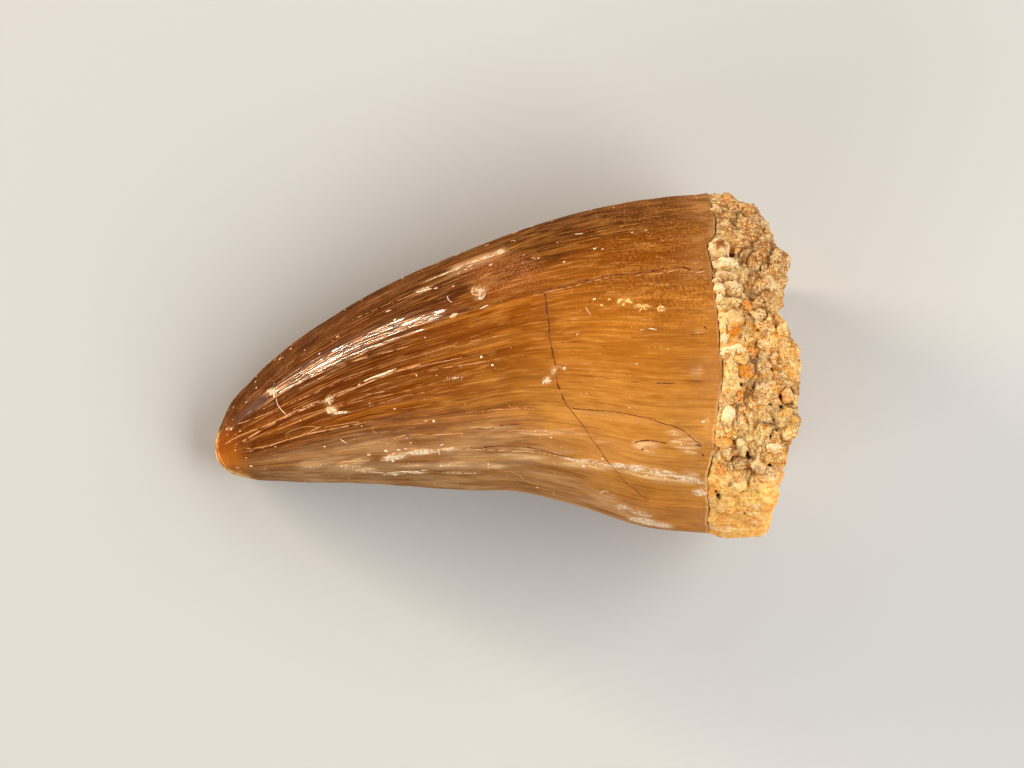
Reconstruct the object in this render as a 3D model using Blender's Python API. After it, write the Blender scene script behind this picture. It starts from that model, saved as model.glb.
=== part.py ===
"""A fossil mosasaur tooth lying on its inner face: the enamelled crown and the broken stub of its root.

X runs along the tooth from the tip to the root, Y across it from the rear cutting edge to the front
one, and Z is up. The origin is at the centre of the footprint, on the surface that the tooth lies on.
"""

import math

import bmesh
import bpy
import numpy as np
from mathutils import Vector, noise

MM = 0.001

# Driving dimensions, in millimetres. The crown's two cutting edges in plan, from root end to tip,
# point for point, with the crown's thickness between each pair of points.
FRONT_EDGE = (
    (20.3, 17.2), (14.6, 16.7), (8.6, 15.6), (2.6, 13.9), (-3.4, 11.7), (-9.5, 9.2),
    (-15.0, 6.4), (-19.7, 3.5), (-23.3, 0.8), (-26.1, -1.8), (-28.0, -3.9), (-29.2, -5.8),
)
REAR_EDGE = (
    (20.4, -16.7), (14.1, -16.1), (7.6, -14.1), (1.8, -12.7), (-3.4, -12.5), (-7.9, -12.3),
    (-12.3, -12.0), (-16.1, -11.9), (-19.7, -11.9), (-22.9, -11.8), (-25.2, -11.7), (-27.0, -11.5),
)
THICKNESS = (27.0, 26.4, 24.8, 22.8, 20.6, 18.3, 15.9, 13.5, 11.2, 8.9, 7.0, 5.0)
FULLNESS = 2.15  # exponent of the oval section: 2 is an ellipse, more is fuller
KEEL_HEIGHT = 0.3  # how far each cutting edge stands out of the oval
KEEL_SPREAD = 7.0  # its half width, in degrees round the section
TIP_DOME = 1.4  # how far the worn tip bulges past the last section
TIP_BLUNTNESS = 2.4  # exponent of its profile: 2 is an ellipse

# The underside arches between the root and the place near the tip where the crown touches down.
ARCH = 1.4
ROOT_STEP = 0.7  # the root stands this much below the crown
TOUCH_DOWN = 0.86  # place of the contact, as a share of the way from root end to tip
TIP_RISE = 0.5

# The wavy line where crown and root meet: degrees round the section from the front edge, over the
# upper side to the rear edge and back underneath, and the line's X there.
JOINT_LINE = (
    (0, 20.2), (30, 20.5), (41, 20.7), (49, 19.8), (60, 20.1), (76, 20.6), (95, 21.1), (108, 20.5),
    (119, 20.3), (131, 19.7), (150, 20.0), (180, 20.3), (225, 20.0), (270, 20.8), (315, 20.1),
)
JOINT_GAP = 0.3  # the open crack along that line

# The root's broken rim, in the same way, and the shape of the broken end inside it.
RIM_LINE = (
    (0, 23.2), (20, 25.5), (31, 25.8), (40, 26.6), (48, 27.7), (54, 27.4), (65, 25.9), (76, 27.4),
    (84, 28.5), (95, 28.7), (108, 28.7), (120, 27.0), (131, 26.1), (142, 26.1), (155, 26.1),
    (168, 26.1), (180, 26.0), (215, 26.2), (250, 27.3), (285, 26.8), (320, 24.9),
)
RIM_HALF_WIDTH = 16.6
RIM_TOP = 27.9
RIM_BOTTOM = -1.1  # below the surface, so that the lowest lumps are worn level with it
RIM_CENTRE = Vector((0, -0.3, (RIM_TOP + RIM_BOTTOM) / 2))
SHOULDER = 0.9  # radius of the broken edge
END_LEVEL = 27.2  # X of the broken end away from its rim
PULP_HOLLOW = 1.3  # depth of the filled pulp cavity in the middle of it

# Its surface: lumps of bone and sediment, and rounder nodules, each given by X, Y and radius on
# the upper side.
LUMP_SIZE = 3.2
LUMP_HEIGHT = 0.9
WAVE_SIZE = 7.0
WAVE_HEIGHT = 0.7
NODULES = (
    (21.2, 15.0, 1.1), (21.4, 11.7, 1.3), (21.9, 9.7, 1.5), (22.6, 7.7, 1.2), (22.4, 6.3, 1.1),
    (23.1, 3.9, 1.5), (23.0, 2.2, 0.9), (22.7, -4.8, 1.5), (21.9, -8.0, 1.1), (25.3, 10.4, 1.2),
    (26.0, -1.0, 1.3), (25.6, 5.2, 1.1),
)
NODULE_HEIGHT = 0.7
SMOOTH_COLLAR = 0.25  # share of the side, next to the joint, over which the lumps rise

# How finely the surfaces are divided.
CROWN_SIDES = 48
CROWN_RINGS = 26
TIPWARD_CROWDING = 1.25  # 1 spaces the rings evenly, more draws them towards the tip
TIP_RINGS = (0.96, 0.86, 0.68, 0.4)  # shares of the radius
ROOT_SIDES = 96
WALL_RINGS = 9
JOINT_RINGS = (0.5, 1)
END_RINGS = (1, 0.97, 0.92, 0.86, 0.79, 0.72, 0.64, 0.56, 0.47, 0.38, 0.29, 0.19, 0.08)


def along(rows, share):
    """The value a share of the way through evenly spaced rows, on a smooth curve through them."""
    rows = np.array(rows, float)
    place = share * (len(rows) - 1)
    start = min(int(place), len(rows) - 2)
    t = place - start
    before, a, b, after = (rows[min(max(start + i, 0), len(rows) - 1)] for i in (-1, 0, 1, 2))
    return 0.5 * (
        2 * a + (b - before) * t + (2 * before - 5 * a + 4 * b - after) * t**2
        + (3 * a - before - 3 * b + after) * t**3
    )


def around(rows, degrees):
    """The value at an angle, between rows of (degrees, value) that go once round."""
    angles, values = zip(*rows)
    return float(np.interp(degrees, angles, values, period=360))


def lift(share):
    """Height of the crown's underside above the surface."""
    inner = min(share / TOUCH_DOWN, 1)
    outer = max(share - TOUCH_DOWN, 0) / (1 - TOUCH_DOWN)
    arch = ARCH * math.sin(math.pi * inner) ** 2
    return arch + ROOT_STEP * (1 - inner) ** 2 + TIP_RISE * outer**2


def oval(degrees, half_width, half_depth):
    """(across, up) of a point of the oval section, 0 degrees being the front edge."""
    cosine, sine = math.cos(math.radians(degrees)), math.sin(math.radians(degrees))
    power = 2 / FULLNESS
    across = half_width * math.copysign(abs(cosine) ** power, cosine)
    return across, half_depth * math.copysign(abs(sine) ** power, sine)


def keel(degrees):
    """How far a cutting edge stands out at this angle."""
    away = abs((degrees + 90) % 180 - 90)
    return KEEL_HEIGHT * math.exp(-((away / KEEL_SPREAD) ** 2))


def crown_point(share, degrees, inset=1.0):
    """A point of the crown's section at this share of the way to the tip, in millimetres."""
    front, rear = (Vector(along(edge, share)) for edge in (FRONT_EDGE, REAR_EDGE))
    middle, chord = (front + rear) / 2, front - rear
    half_depth = float(along(THICKNESS, share)) / 2
    across, up = oval(degrees, chord.length / 2 - KEEL_HEIGHT, half_depth)
    across += math.copysign(keel(degrees), across)
    place = middle + chord.normalized() * across * inset
    return Vector((place.x, place.y, lift(share) + half_depth + up * inset))


def joint_x(degrees, radius_share=1.0):
    """X of the surface where crown and root meet, which is even in the middle and wavy at its edge."""
    edge = around(JOINT_LINE, degrees)
    level = sum(x for _, x in JOINT_LINE) / len(JOINT_LINE)
    return level + (edge - level) * radius_share**2


def lumps(point):
    """How far the broken surface stands out at this point: rounded grains on a broad unevenness."""
    distances, _ = noise.voronoi(point / LUMP_SIZE)
    grain = LUMP_HEIGHT * (0.5 - distances[0] ** 1.5)
    return grain + WAVE_HEIGHT * noise.noise(point / WAVE_SIZE)


def nodule(point):
    """How far the nearest nodule stands out at this point of the root's side, or 0."""
    height = 0
    for x, y, radius in NODULES:
        away = math.hypot(point.x - x, point.y - y) / radius
        if away < 1 and point.z > RIM_CENTRE.z:
            height = NODULE_HEIGHT * (1 - away**2)
    return height


def root_wall_point(share, degrees):
    """A point of the root's side, from the joint at share 0 to the broken rim at share 1."""
    start = crown_point(0, degrees)
    across, up = oval(degrees, RIM_HALF_WIDTH, (RIM_TOP - RIM_BOTTOM) / 2)
    end = RIM_CENTRE + Vector((0, across, up))
    place = start.lerp(end, math.sqrt(share))
    first = joint_x(degrees) + JOINT_GAP
    place.x = first + (around(RIM_LINE, degrees) - SHOULDER - first) * share
    outward = place - RIM_CENTRE
    outward.x = 0
    height = max(lumps(place), nodule(place)) * min(share / SMOOTH_COLLAR, 1)
    return place + outward.normalized() * height


def root_end_point(share, degrees):
    """A point of the broken end, from the middle at share 0 to its rounded edge at share 1."""
    across, up = oval(degrees, RIM_HALF_WIDTH, (RIM_TOP - RIM_BOTTOM) / 2)
    outward = Vector((0, across, up))
    place = RIM_CENTRE + outward * share - outward.normalized() * SHOULDER * share
    edge = around(RIM_LINE, degrees)
    place.x = END_LEVEL + (edge - END_LEVEL) * share**5 - PULP_HOLLOW * (1 - share**2) ** 2
    return place + Vector((lumps(place), 0, 0))


def skin(name, rings, first_end, last_end):
    """An object made of closed rings bridged in order, with a point closing each end."""
    shape = bmesh.new()
    loops = [[shape.verts.new(point * MM) for point in ring] for ring in rings]
    for ring, following in zip(loops, loops[1:]):
        for i in range(len(ring)):
            j = (i + 1) % len(ring)
            shape.faces.new((ring[i], ring[j], following[j], following[i]))
    for loop, end in ((loops[0], first_end), (loops[-1], last_end)):
        pole = shape.verts.new(end * MM)
        for i, vertex in enumerate(loop):
            shape.faces.new((vertex, loop[(i + 1) % len(loop)], pole))
    bmesh.ops.recalc_face_normals(shape, faces=shape.faces)
    mesh = bpy.data.meshes.new(name)
    shape.to_mesh(mesh)
    shape.free()
    made = bpy.data.objects.new(name, mesh)
    bpy.context.scene.collection.objects.link(made)
    return made


def angles(count):
    return [360 * i / count for i in range(count)]


def joint_face(sides, gap):
    """The rings of the face where crown and root meet, moved towards the root by the gap."""
    rings = []
    for inset in JOINT_RINGS:
        ring = [crown_point(0, degrees, inset) for degrees in angles(sides)]
        for point, degrees in zip(ring, angles(sides)):
            point.x = joint_x(degrees, inset) + gap
        rings.append(ring)
    return rings


def middle_of(ring):
    return sum(ring, Vector()) / len(ring)


def make_crown():
    rings = joint_face(CROWN_SIDES, 0)
    for i in range(1, CROWN_RINGS + 1):
        share = 1 - (1 - i / CROWN_RINGS) ** TIPWARD_CROWDING
        rings.append([crown_point(share, degrees) for degrees in angles(CROWN_SIDES)])
    last, before = middle_of(rings[-1]), middle_of(rings[-2])
    towards_tip = (last - before).normalized()
    for inset in TIP_RINGS:
        bulge = TIP_DOME * (1 - inset**TIP_BLUNTNESS) ** (1 / TIP_BLUNTNESS)
        ring = [crown_point(1, degrees, inset) for degrees in angles(CROWN_SIDES)]
        rings.append([point + towards_tip * bulge for point in ring])
    return skin("crown", rings, middle_of(rings[0]), last + towards_tip * TIP_DOME)


def make_root():
    rings = joint_face(ROOT_SIDES, JOINT_GAP)
    for i in range(1, WALL_RINGS + 1):
        rings.append([root_wall_point(i / WALL_RINGS, d) for d in angles(ROOT_SIDES)])
    for share in END_RINGS:
        rings.append([root_end_point(share, d) for d in angles(ROOT_SIDES)])
    root = skin("root", rings, middle_of(rings[0]), middle_of(rings[-1]))
    wear_level(root)
    return root


def wear_level(root):
    """Cuts the lowest lumps off flush with the surface, which leaves the flat that the tooth lies on."""
    shape = bmesh.new()
    shape.from_mesh(root.data)
    everything = shape.verts[:] + shape.edges[:] + shape.faces[:]
    cut = bmesh.ops.bisect_plane(shape, geom=everything, plane_no=(0, 0, -1), clear_outer=True)
    edges = [e for e in cut["geom_cut"] if isinstance(e, bmesh.types.BMEdge)]
    bmesh.ops.holes_fill(shape, edges=edges)
    bmesh.ops.recalc_face_normals(shape, faces=shape.faces)
    shape.to_mesh(root.data)
    shape.free()


def finish(made, name, colour, roughness, sharp_angle):
    """Gives the object its material and smooth shading."""
    material = bpy.data.materials.new(name)
    material.use_nodes = True
    shader = material.node_tree.nodes["Principled BSDF"]
    shader.inputs["Base Color"].default_value = (*colour, 1)
    shader.inputs["Roughness"].default_value = roughness
    made.data.materials.append(material)
    made.data.shade_smooth()
    made.data.set_sharp_from_angle(angle=math.radians(sharp_angle))


def place_on_origin(pieces):
    """Parents the pieces to an empty that puts the middle of their footprint at the origin."""
    corners = np.array([v.co for piece in pieces for v in piece.data.vertices])
    low, high = corners.min(axis=0), corners.max(axis=0)
    tooth = bpy.data.objects.new("tooth", None)
    bpy.context.scene.collection.objects.link(tooth)
    tooth.location = (-(low[0] + high[0]) / 2, -(low[1] + high[1]) / 2, -low[2])
    for piece in pieces:
        piece.parent = tooth


for leftover in list(bpy.data.objects):
    bpy.data.objects.remove(leftover)
crown_piece = make_crown()
root_piece = make_root()
finish(crown_piece, "enamel", (0.42, 0.20, 0.06), 0.28, 40)
finish(root_piece, "root_bone", (0.66, 0.42, 0.20), 0.85, 60)
place_on_origin([crown_piece, root_piece])
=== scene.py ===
"""A fossil mosasaur tooth lying on its inner face: glossy ridged enamel over the broken, lumpy root.

Lengths are in millimetres unless a name says otherwise, in the frame's own axes: X from the tip to
the root, Y towards the front cutting edge, Z up. A turn round the tooth starts at the front edge,
passes over the upper side to the rear edge, and comes back underneath.
"""

import math

import bpy
import numpy as np
from mathutils import Matrix, Vector, noise
from mathutils.bvhtree import BVHTree


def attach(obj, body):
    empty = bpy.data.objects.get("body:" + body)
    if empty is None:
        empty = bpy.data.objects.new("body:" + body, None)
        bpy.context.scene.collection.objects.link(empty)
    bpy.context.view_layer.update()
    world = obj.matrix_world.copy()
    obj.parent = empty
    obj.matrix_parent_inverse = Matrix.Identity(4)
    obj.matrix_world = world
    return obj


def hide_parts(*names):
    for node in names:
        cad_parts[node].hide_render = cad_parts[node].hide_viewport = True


MM = 0.001
FLOOR = (-math.inf, -math.inf, 0)  # the least that each coordinate may be
SAME_PLACE = 0.0005  # points nearer than this are one
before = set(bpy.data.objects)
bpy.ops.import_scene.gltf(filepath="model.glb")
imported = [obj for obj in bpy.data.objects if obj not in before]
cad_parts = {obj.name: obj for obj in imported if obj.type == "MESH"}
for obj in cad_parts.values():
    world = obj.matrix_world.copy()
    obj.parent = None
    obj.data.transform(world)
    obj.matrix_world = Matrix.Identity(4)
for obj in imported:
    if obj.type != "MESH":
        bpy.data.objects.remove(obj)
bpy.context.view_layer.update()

# The crown's form: its two cutting edges in plan from the joint to the tip, and its thickness
# between them.
FRONT_EDGE = (
    (20.3, 17.2), (14.6, 16.7), (8.6, 15.6), (2.6, 13.9), (-3.4, 11.7), (-9.5, 9.2),
    (-15.0, 6.4), (-19.7, 3.5), (-23.3, 0.8), (-26.1, -1.8), (-28.0, -3.9), (-28.95, -5.95),
)
REAR_EDGE = (
    (20.4, -16.7), (14.1, -16.1), (7.6, -14.1), (1.8, -12.7), (-3.4, -12.5), (-7.9, -12.3),
    (-12.3, -12.0), (-16.1, -11.9), (-19.7, -11.9), (-22.9, -11.8), (-25.3, -11.7), (-27.6, -11.2),
)
THICKNESS = (27.0, 26.4, 24.8, 22.8, 20.6, 18.3, 15.9, 13.5, 11.2, 8.9, 7.0, 5.0)
PLAN_SHIFT = (0.54, -0.02)  # from the plan's own origin to the middle of the footprint
FULLNESS = 2.15
KEEL_HEIGHT = 0.3
KEEL_SPREAD = 7.0
TIP_DOME = 1.4
ARCH = 1.4
ROOT_STEP = 0.7
TOUCH_DOWN = 0.86
TIP_RISE = 0.5

# The wavy line where crown and root meet: degrees round the tooth, and X there.
JOINT_LINE = (
    (0, 20.2), (30, 20.5), (41, 20.7), (49, 19.8), (60, 20.1), (76, 20.6), (95, 21.1), (108, 20.5),
    (119, 20.3), (131, 19.7), (150, 20.0), (180, 20.3), (225, 20.0), (270, 20.8), (315, 20.1),
)
JOINT_CRACK = 0.16
JOINT_RADIUS = 16  # of the circle that carries the noise along the joint
JOINT_NICKS = ((1.6, 0.16, 3), (0.5, 0.07, 4))  # size, height and seed of each noise

# The root's broken rim in the same way, and the shape of its broken end.
RIM_LINE = (
    (0, 23.2), (20, 25.5), (31, 25.8), (40, 26.6), (48, 27.7), (54, 27.4), (65, 25.9), (76, 27.4),
    (84, 28.5), (95, 28.7), (108, 28.7), (120, 27.0), (131, 26.1), (142, 26.1), (155, 26.1),
    (168, 26.1), (180, 26.0), (215, 26.2), (250, 27.3), (285, 26.8), (320, 24.9),
)
RIM_HALF_WIDTH = 16.6
RIM_TOP = 27.9
RIM_BOTTOM = -1.1
RIM_CENTRE_Y = -0.3
SHOULDER = 0.9
END_LEVEL = 27.2
PULP_HOLLOW = 1.3


def edit_only(piece):
    """Makes the piece the only one selected, and the active one."""
    bpy.ops.object.select_all(action="DESELECT")
    piece.select_set(True)
    bpy.context.view_layer.objects.active = piece


def drawn_tube(name, sides, rings):
    """A straight open tube along X, of radius 1 and length 1, with its rings evenly spaced."""
    bpy.ops.object.select_all(action="DESELECT")
    upright = (0, math.pi / 2, 0)
    bpy.ops.mesh.primitive_circle_add(vertices=sides, radius=1, rotation=upright)
    tube = bpy.context.object
    tube.name = tube.data.name = name
    bpy.ops.object.transform_apply(location=True, rotation=True, scale=True)
    bpy.ops.object.mode_set(mode="EDIT")
    bpy.ops.mesh.primitive_circle_add(
        vertices=sides, radius=1, rotation=upright, location=(1, 0, 0)
    )
    bpy.ops.mesh.select_all(action="SELECT")
    bpy.ops.mesh.bridge_edge_loops(number_cuts=rings - 2, interpolation="LINEAR")
    bpy.ops.object.mode_set(mode="OBJECT")
    return tube


def ringed_tube(name, sides, rings):
    """A tube with a ring for each pair of values, and the turn and the two values at its points."""
    tube = drawn_tube(name, sides, len(rings))
    points = points_of(tube)
    ring = np.rint(points[:, 0] * (len(rings) - 1)).astype(int)
    return tube, np.arctan2(points[:, 2], points[:, 1]), *np.array(rings, float)[ring].T


def close_and_face_outwards(piece):
    edit_only(piece)
    bpy.ops.object.mode_set(mode="EDIT")
    bpy.ops.mesh.select_all(action="SELECT")
    bpy.ops.mesh.remove_doubles(threshold=SAME_PLACE)
    bpy.ops.mesh.normals_make_consistent(inside=False)
    bpy.ops.object.mode_set(mode="OBJECT")


def placed(name, data):
    """A new object in the scene."""
    piece = bpy.data.objects.new(name, data)
    bpy.context.scene.collection.objects.link(piece)
    return piece


def vectors(data, field):
    """The field of each item in the data, as rows of three numbers."""
    values = np.empty(len(data) * 3, np.float32)
    data.foreach_get(field, values)
    return values.reshape(-1, 3).astype(float)


def points_of(piece):
    return vectors(piece.data.vertices, "co")


def normals_of(piece):
    return vectors(piece.data.vertex_normals, "vector")


def set_points(piece, points):
    piece.data.vertices.foreach_set("co", np.asarray(points, np.float32).ravel())
    piece.data.update()


def raise_points(piece, points, normals, height):
    """Moves the points of the piece out along their normals, but none of them below the floor."""
    set_points(piece, np.maximum(points + normals * height[:, None], FLOOR))


def store(piece, **values):
    """Keeps numbers or vectors for the points of the piece, by name, for its material to read."""
    for name, numbers in values.items():
        kind, field = ("FLOAT_VECTOR", "vector") if np.ndim(numbers) == 2 else ("FLOAT", "value")
        attribute = piece.data.attributes.new(name, kind, "POINT")
        attribute.data.foreach_set(field, np.ravel(numbers))


def stored(piece, name):
    data = piece.data.attributes[name].data
    if hasattr(data[0], "vector"):
        return vectors(data, "vector")
    values = np.empty(len(data), np.float32)
    data.foreach_get("value", values)
    return values.astype(float)


def along(rows, share):
    """The value at each share of the way through evenly spaced rows, on a smooth curve."""
    rows = np.array(rows, float)
    place = share * (len(rows) - 1)
    start = np.clip(place.astype(int), 0, len(rows) - 2)
    t = place - start
    if rows.ndim == 2:
        t = t[:, None]
    before, a, b, after = (rows[np.clip(start + i, 0, len(rows) - 1)] for i in (-1, 0, 1, 2))
    return 0.5 * (
        2 * a + (b - before) * t + (2 * before - 5 * a + 4 * b - after) * t**2
        + (3 * a - before - 3 * b + after) * t**3
    )


def around(rows, turn):
    angles, values = zip(*rows)
    return np.interp(np.degrees(turn) % 360, angles, values, period=360)


def smooth(low, high, values):
    """0 below low and 1 above high, with a smooth rise between them."""
    t = np.clip((values - low) / (high - low), 0, 1)
    return t * t * (3 - 2 * t)


def rough(points, size, seed=0):
    """Smooth noise between -1 and 1 at each point, with features of about the size."""
    shift = Vector((seed * 17.3, seed * 5.1, seed * 9.7))
    return np.array([noise.noise(Vector(p) / size + shift) for p in points])


def waves(points, rows, base=0):
    """Smooth noise of several sizes on top of the base. Each row is a size, a height and a seed."""
    for size, height, seed in rows:
        base = base + height * rough(points, size, seed)
    return base


def sway(points, size, seed):
    """A smooth shift between -1 and 1 along each axis, for each point."""
    return np.column_stack([rough(points, size, seed + axis) for axis in range(3)])


def wrapped(turn, radius, height):
    """Points round a cylinder, for patterns that run on all the way round the tooth."""
    return np.column_stack([radius * np.cos(turn), radius * np.sin(turn), height])


def oval(turn, half_width, half_depth):
    """(across, up) of points of the oval section."""
    cosine, sine = np.cos(turn), np.sin(turn)
    power = 2 / FULLNESS
    across = half_width * np.sign(cosine) * np.abs(cosine) ** power
    return across, half_depth * np.sign(sine) * np.abs(sine) ** power


def crown_surface(share, turn, inset):
    """Points of the crown's section at each share of the way to the tip, drawn in by the inset."""
    front, rear = along(FRONT_EDGE, share), along(REAR_EDGE, share)
    middle, chord = (front + rear) / 2, front - rear
    width = np.linalg.norm(chord, axis=1)
    half_depth = along(THICKNESS, share) / 2
    across, up = oval(turn, width / 2 - KEEL_HEIGHT, half_depth)
    away = np.abs((np.degrees(turn) + 90) % 180 - 90)
    across += np.sign(across) * KEEL_HEIGHT * np.exp(-((away / KEEL_SPREAD) ** 2))
    plan = middle + chord / width[:, None] * (across * inset)[:, None] + PLAN_SHIFT
    inner = np.minimum(share / TOUCH_DOWN, 1)
    outer = np.maximum(share - TOUCH_DOWN, 0) / (1 - TOUCH_DOWN)
    lift = ARCH * np.sin(np.pi * inner) ** 2 + ROOT_STEP * (1 - inner) ** 2 + TIP_RISE * outer**2
    return np.column_stack([plan, lift + half_depth + up * inset])


CROWN_SIDES = 612
CROWN_RINGS = 142
TIPWARD_CROWDING = 1.25
UPWARD_CROWDING = 0.4
BASE_INSETS = (0, 0.4, 0.75, 0.95, 0.985)
DOME_INSETS = (0.985, 0.96, 0.93, 0.89, 0.84, 0.77, 0.68, 0.56, 0.4, 0.2, 0)
JOINT_REACH = 0.08  # share of the crown over which its rings give way to the wavy joint
NEAR_TIP = 0.98  # share of the way to the tip from which the dome takes its direction

FIBRE_RADIUS = 12.0  # the fibre coordinates wrap the crown as if it were a cylinder this thick
CROWN_LENGTH = 51.0

# The clearest of the long ridges: degrees round the crown where the ridge starts and where it ends,
# those places as shares of the crown's length, and its strength.
LONG_RIDGES = (
    (83, 89, 0.40, 0.99, 1.0), (106, 104, 0.50, 0.95, 0.9), (102, 95, 0.65, 0.76, 0.6),
    (73, 62, 0.40, 0.76, 0.8), (59, 57, 0.36, 0.80, 1.0), (56, 54, 0.38, 0.82, 1.0),
    (62, 60, 0.34, 0.80, 0.9), (66, 64, 0.38, 0.86, 0.7), (53, 51, 0.42, 0.84, 0.7),
    (93, 92, 0.30, 0.86, 0.6), (78, 76, 0.34, 0.90, 0.6), (70, 69, 0.26, 0.84, 0.5),
    (98, 99, 0.34, 0.60, 0.5), (88, 87, 0.26, 0.52, 0.7), (47, 45, 0.30, 0.90, 0.5),
    (40, 38, 0.30, 0.92, 0.6), (32, 30, 0.35, 0.90, 0.4), (112, 111, 0.25, 0.80, 0.5),
)
SHORT_RIDGES = 130
RIDGE_HEIGHT = 0.04
LINES_ROUND = 190  # the finest lines, counted once round the crown
RIDGE_WIDTH = 0.09
SECTION_RADIUS = 0.55  # as a share of the thickness
RIDGE_FADE = 0.08  # share of the crown over which a ridge fades at each end
RIDGE_WAVER = 0.012
RIDGE_WAVES = 23  # radians of wave from the joint to the tip
STRIA_PITCH = 0.5
STRIA_HEIGHT = 0.018
STRIA_STRETCH = 0.03
FLUTE_PITCH = 5.0
FLUTE_HEIGHT = 0.12
FLUTE_STRETCH = 0.12
DENT_SIZE = 2.2
DENT_HEIGHT = 0.08

# Marks on the enamel: X and Y of the middle, half length, half width, degrees turned, strength.
# The underside carries the same marks the other way round. The chalk rows at Y 9.8 to 11.2, raised
# as crust, and the grey row at Y 10.1 are a painted highlight along the front edge.
CHALK_AND_HIGHLIGHT_MARKS = (
    (-1.8, 7.1, 0.8, 0.45, 60, 0.72), (-2.4, 7.4, 0.4, 0.25, 30, 0.6), (-1.9, 10.5, 1.7, 0.38, 20, 0.6),
    (0.2, 11.2, 0.7, 0.3, 20, 0.75), (-3.9, 9.8, 1.3, 0.3, 22, 0.5), (-5.8, 8.9, 2.0, 0.1, 20, 0.7),
    (-7.4, 7.6, 1.0, 0.12, 20, 0.7), (-11.5, -0.9, 1.2, 0.18, 18, 0.72),
    (-17.0, -3.5, 0.4, 0.6, -30, 0.8), (-16.7, -4.5, 0.6, 0.4, -20, 0.9),
    (-15.6, -4.7, 0.9, 0.14, 3, 0.9), (-22.8, -2.7, 0.5, 0.3, -20, 1.0),
    (-27.4, -6.4, 0.5, 0.2, 10, 0.6), (-10.3, -9.1, 1.3, 0.38, 12, 1.0), (-7.7, -8.6, 1.5, 0.3, 5, 1.0),
    (-4.9, -8.3, 1.1, 0.2, 5, 0.7), (-10.5, -10.8, 1.2, 0.15, 2, 0.9), (-8.3, -10.6, 1.2, 0.15, -2, 0.9),
    (-3.8, -10.6, 1.9, 0.15, 1, 0.7), (-14.8, -10.2, 1.0, 0.28, 10, 0.7), (6.9, -9.2, 1.1, 0.2, -8, 0.7),
    (9.2, -9.4, 1.5, 0.22, -5, 0.8), (11.7, -9.8, 1.6, 0.26, -5, 0.9), (13.6, -10.1, 0.9, 0.38, 0, 1.0),
    (15.9, -10.5, 1.8, 0.32, -8, 0.9), (18.2, -11.0, 1.6, 0.3, -12, 0.9), (19.6, -11.4, 0.8, 0.2, -25, 0.7),
    (19.7, -12.4, 0.8, 0.39, 0, 0.9), (14.4, -15.4, 1.7, 0.42, -12, 1.0), (16.2, -15.8, 1.1, 0.35, -10, 0.9),
    (14.0, -14.6, 1.3, 0.32, -14, 0.7), (12.2, -13.9, 0.8, 0.4, 0, 0.7), (13.0, -14.1, 0.7, 0.2, -20, 0.5),
    (5.3, -0.5, 0.3, 0.45, 0, 0.6), (4.7, -1.5, 0.4, 0.45, 20, 0.7), (6.2, -0.3, 0.4, 0.19, -20, 0.7),
)
CREAM_MARKS = (
    (12.2, 6.2, 0.9, 0.42, 15, 0.45), (13.7, 5.7, 0.5, 0.25, 0, 0.8), (14.3, 5.6, 0.4, 0.25, 0, 0.7),
    (15.8, 5.4, 0.4, 0.25, 0, 0.9), (13.9, -7.9, 0.8, 0.3, -8, 0.9), (14.6, -8.5, 0.7, 0.22, -20, 0.8),
    (17.2, -6.7, 0.9, 0.35, -10, 0.8), (17.6, -7.7, 1.0, 0.42, -12, 0.8), (18.6, -8.5, 0.6, 0.25, -20, 0.7),
    (4.6, -6.6, 2.7, 0.32, 2, 0.6), (3.1, -8.2, 1.8, 0.27, 2, 0.5), (0.2, -7.0, 2.0, 0.22, 0, 0.5),
    (8.0, -6.8, 1.4, 0.19, 0, 0.4), (6.0, -8.5, 2.0, 0.29, -2, 0.4), (-2.8, -7.0, 1.6, 0.2, 2, 0.4),
    (9.9, -7.5, 1.2, 0.19, 0, 0.4), (19.5, 3.3, 0.6, 0.35, 0, 0.5), (19.2, -0.7, 0.6, 0.7, 0, 0.5),
    (20.1, -5.4, 0.3, 1.1, 0, 0.6), (18.7, -10.7, 1.0, 0.45, -20, 0.5),
    (8.6, -9.7, 3.4, 0.5, -5, 0.75), (15.4, -10.8, 3.6, 0.6, -9, 0.85), (2.4, -9.0, 3.0, 0.3, -3, 0.6),
    (10.5, -5.0, 6.0, 0.35, -8, 0.3), (13.4, -14.7, 2.4, 0.8, -14, 0.45),
    (10.6, -13.2, 1.7, 0.7, -20, 0.5), (-1.0, -6.2, 3.0, 0.35, 2, 0.45),
    (-14.6, -9.7, 1.7, 0.4, 12, 0.85), (-13.4, -10.4, 1.3, 0.3, 4, 0.75), (-18.6, -10.1, 1.6, 0.35, 8, 0.55),
    (-4.4, -9.8, 1.8, 0.32, 2, 0.75), (-0.6, -9.9, 1.5, 0.3, -4, 0.65), (-8.6, -9.9, 1.8, 0.25, 2, 0.6),
    (-12.0, -7.6, 2.2, 0.25, 8, 0.5), (14.3, -7.9, 1.4, 0.6, -6, 0.6), (18.3, -7.6, 1.3, 0.8, -10, 0.6),
)
GREY_MARKS = (
    (-16.9, -9.5, 3.0, 0.9, 8, 0.8), (-11.8, -10.1, 3.4, 0.8, 3, 0.8), (-4.8, -9.6, 4.0, 0.9, -2, 0.8),
    (2.1, -9.2, 3.3, 0.8, -6, 0.6), (-21.0, -9.8, 2.6, 0.8, 6, 0.6), (9.5, -13.4, 2.0, 0.7, -16, 0.6),
    (6.1, -12.0, 2.4, 0.6, -10, 0.6), (-14.8, -7.1, 3.0, 0.5, 10, 0.5), (-7.7, -5.8, 3.4, 0.5, 6, 0.5),
    # The row at X -2.6, Y 10.1 is a painted highlight along the front edge.
    (-1.8, -5.4, 2.5, 0.5, 0, 0.4), (-2.6, 10.1, 3.6, 0.8, 20, 1.0), (9.9, 10.2, 1.4, 0.9, 0, 0.3),
    (13.8, 11.7, 2.0, 0.8, 10, 0.3),
)
CRUST_HEIGHT = 0.05


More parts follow.
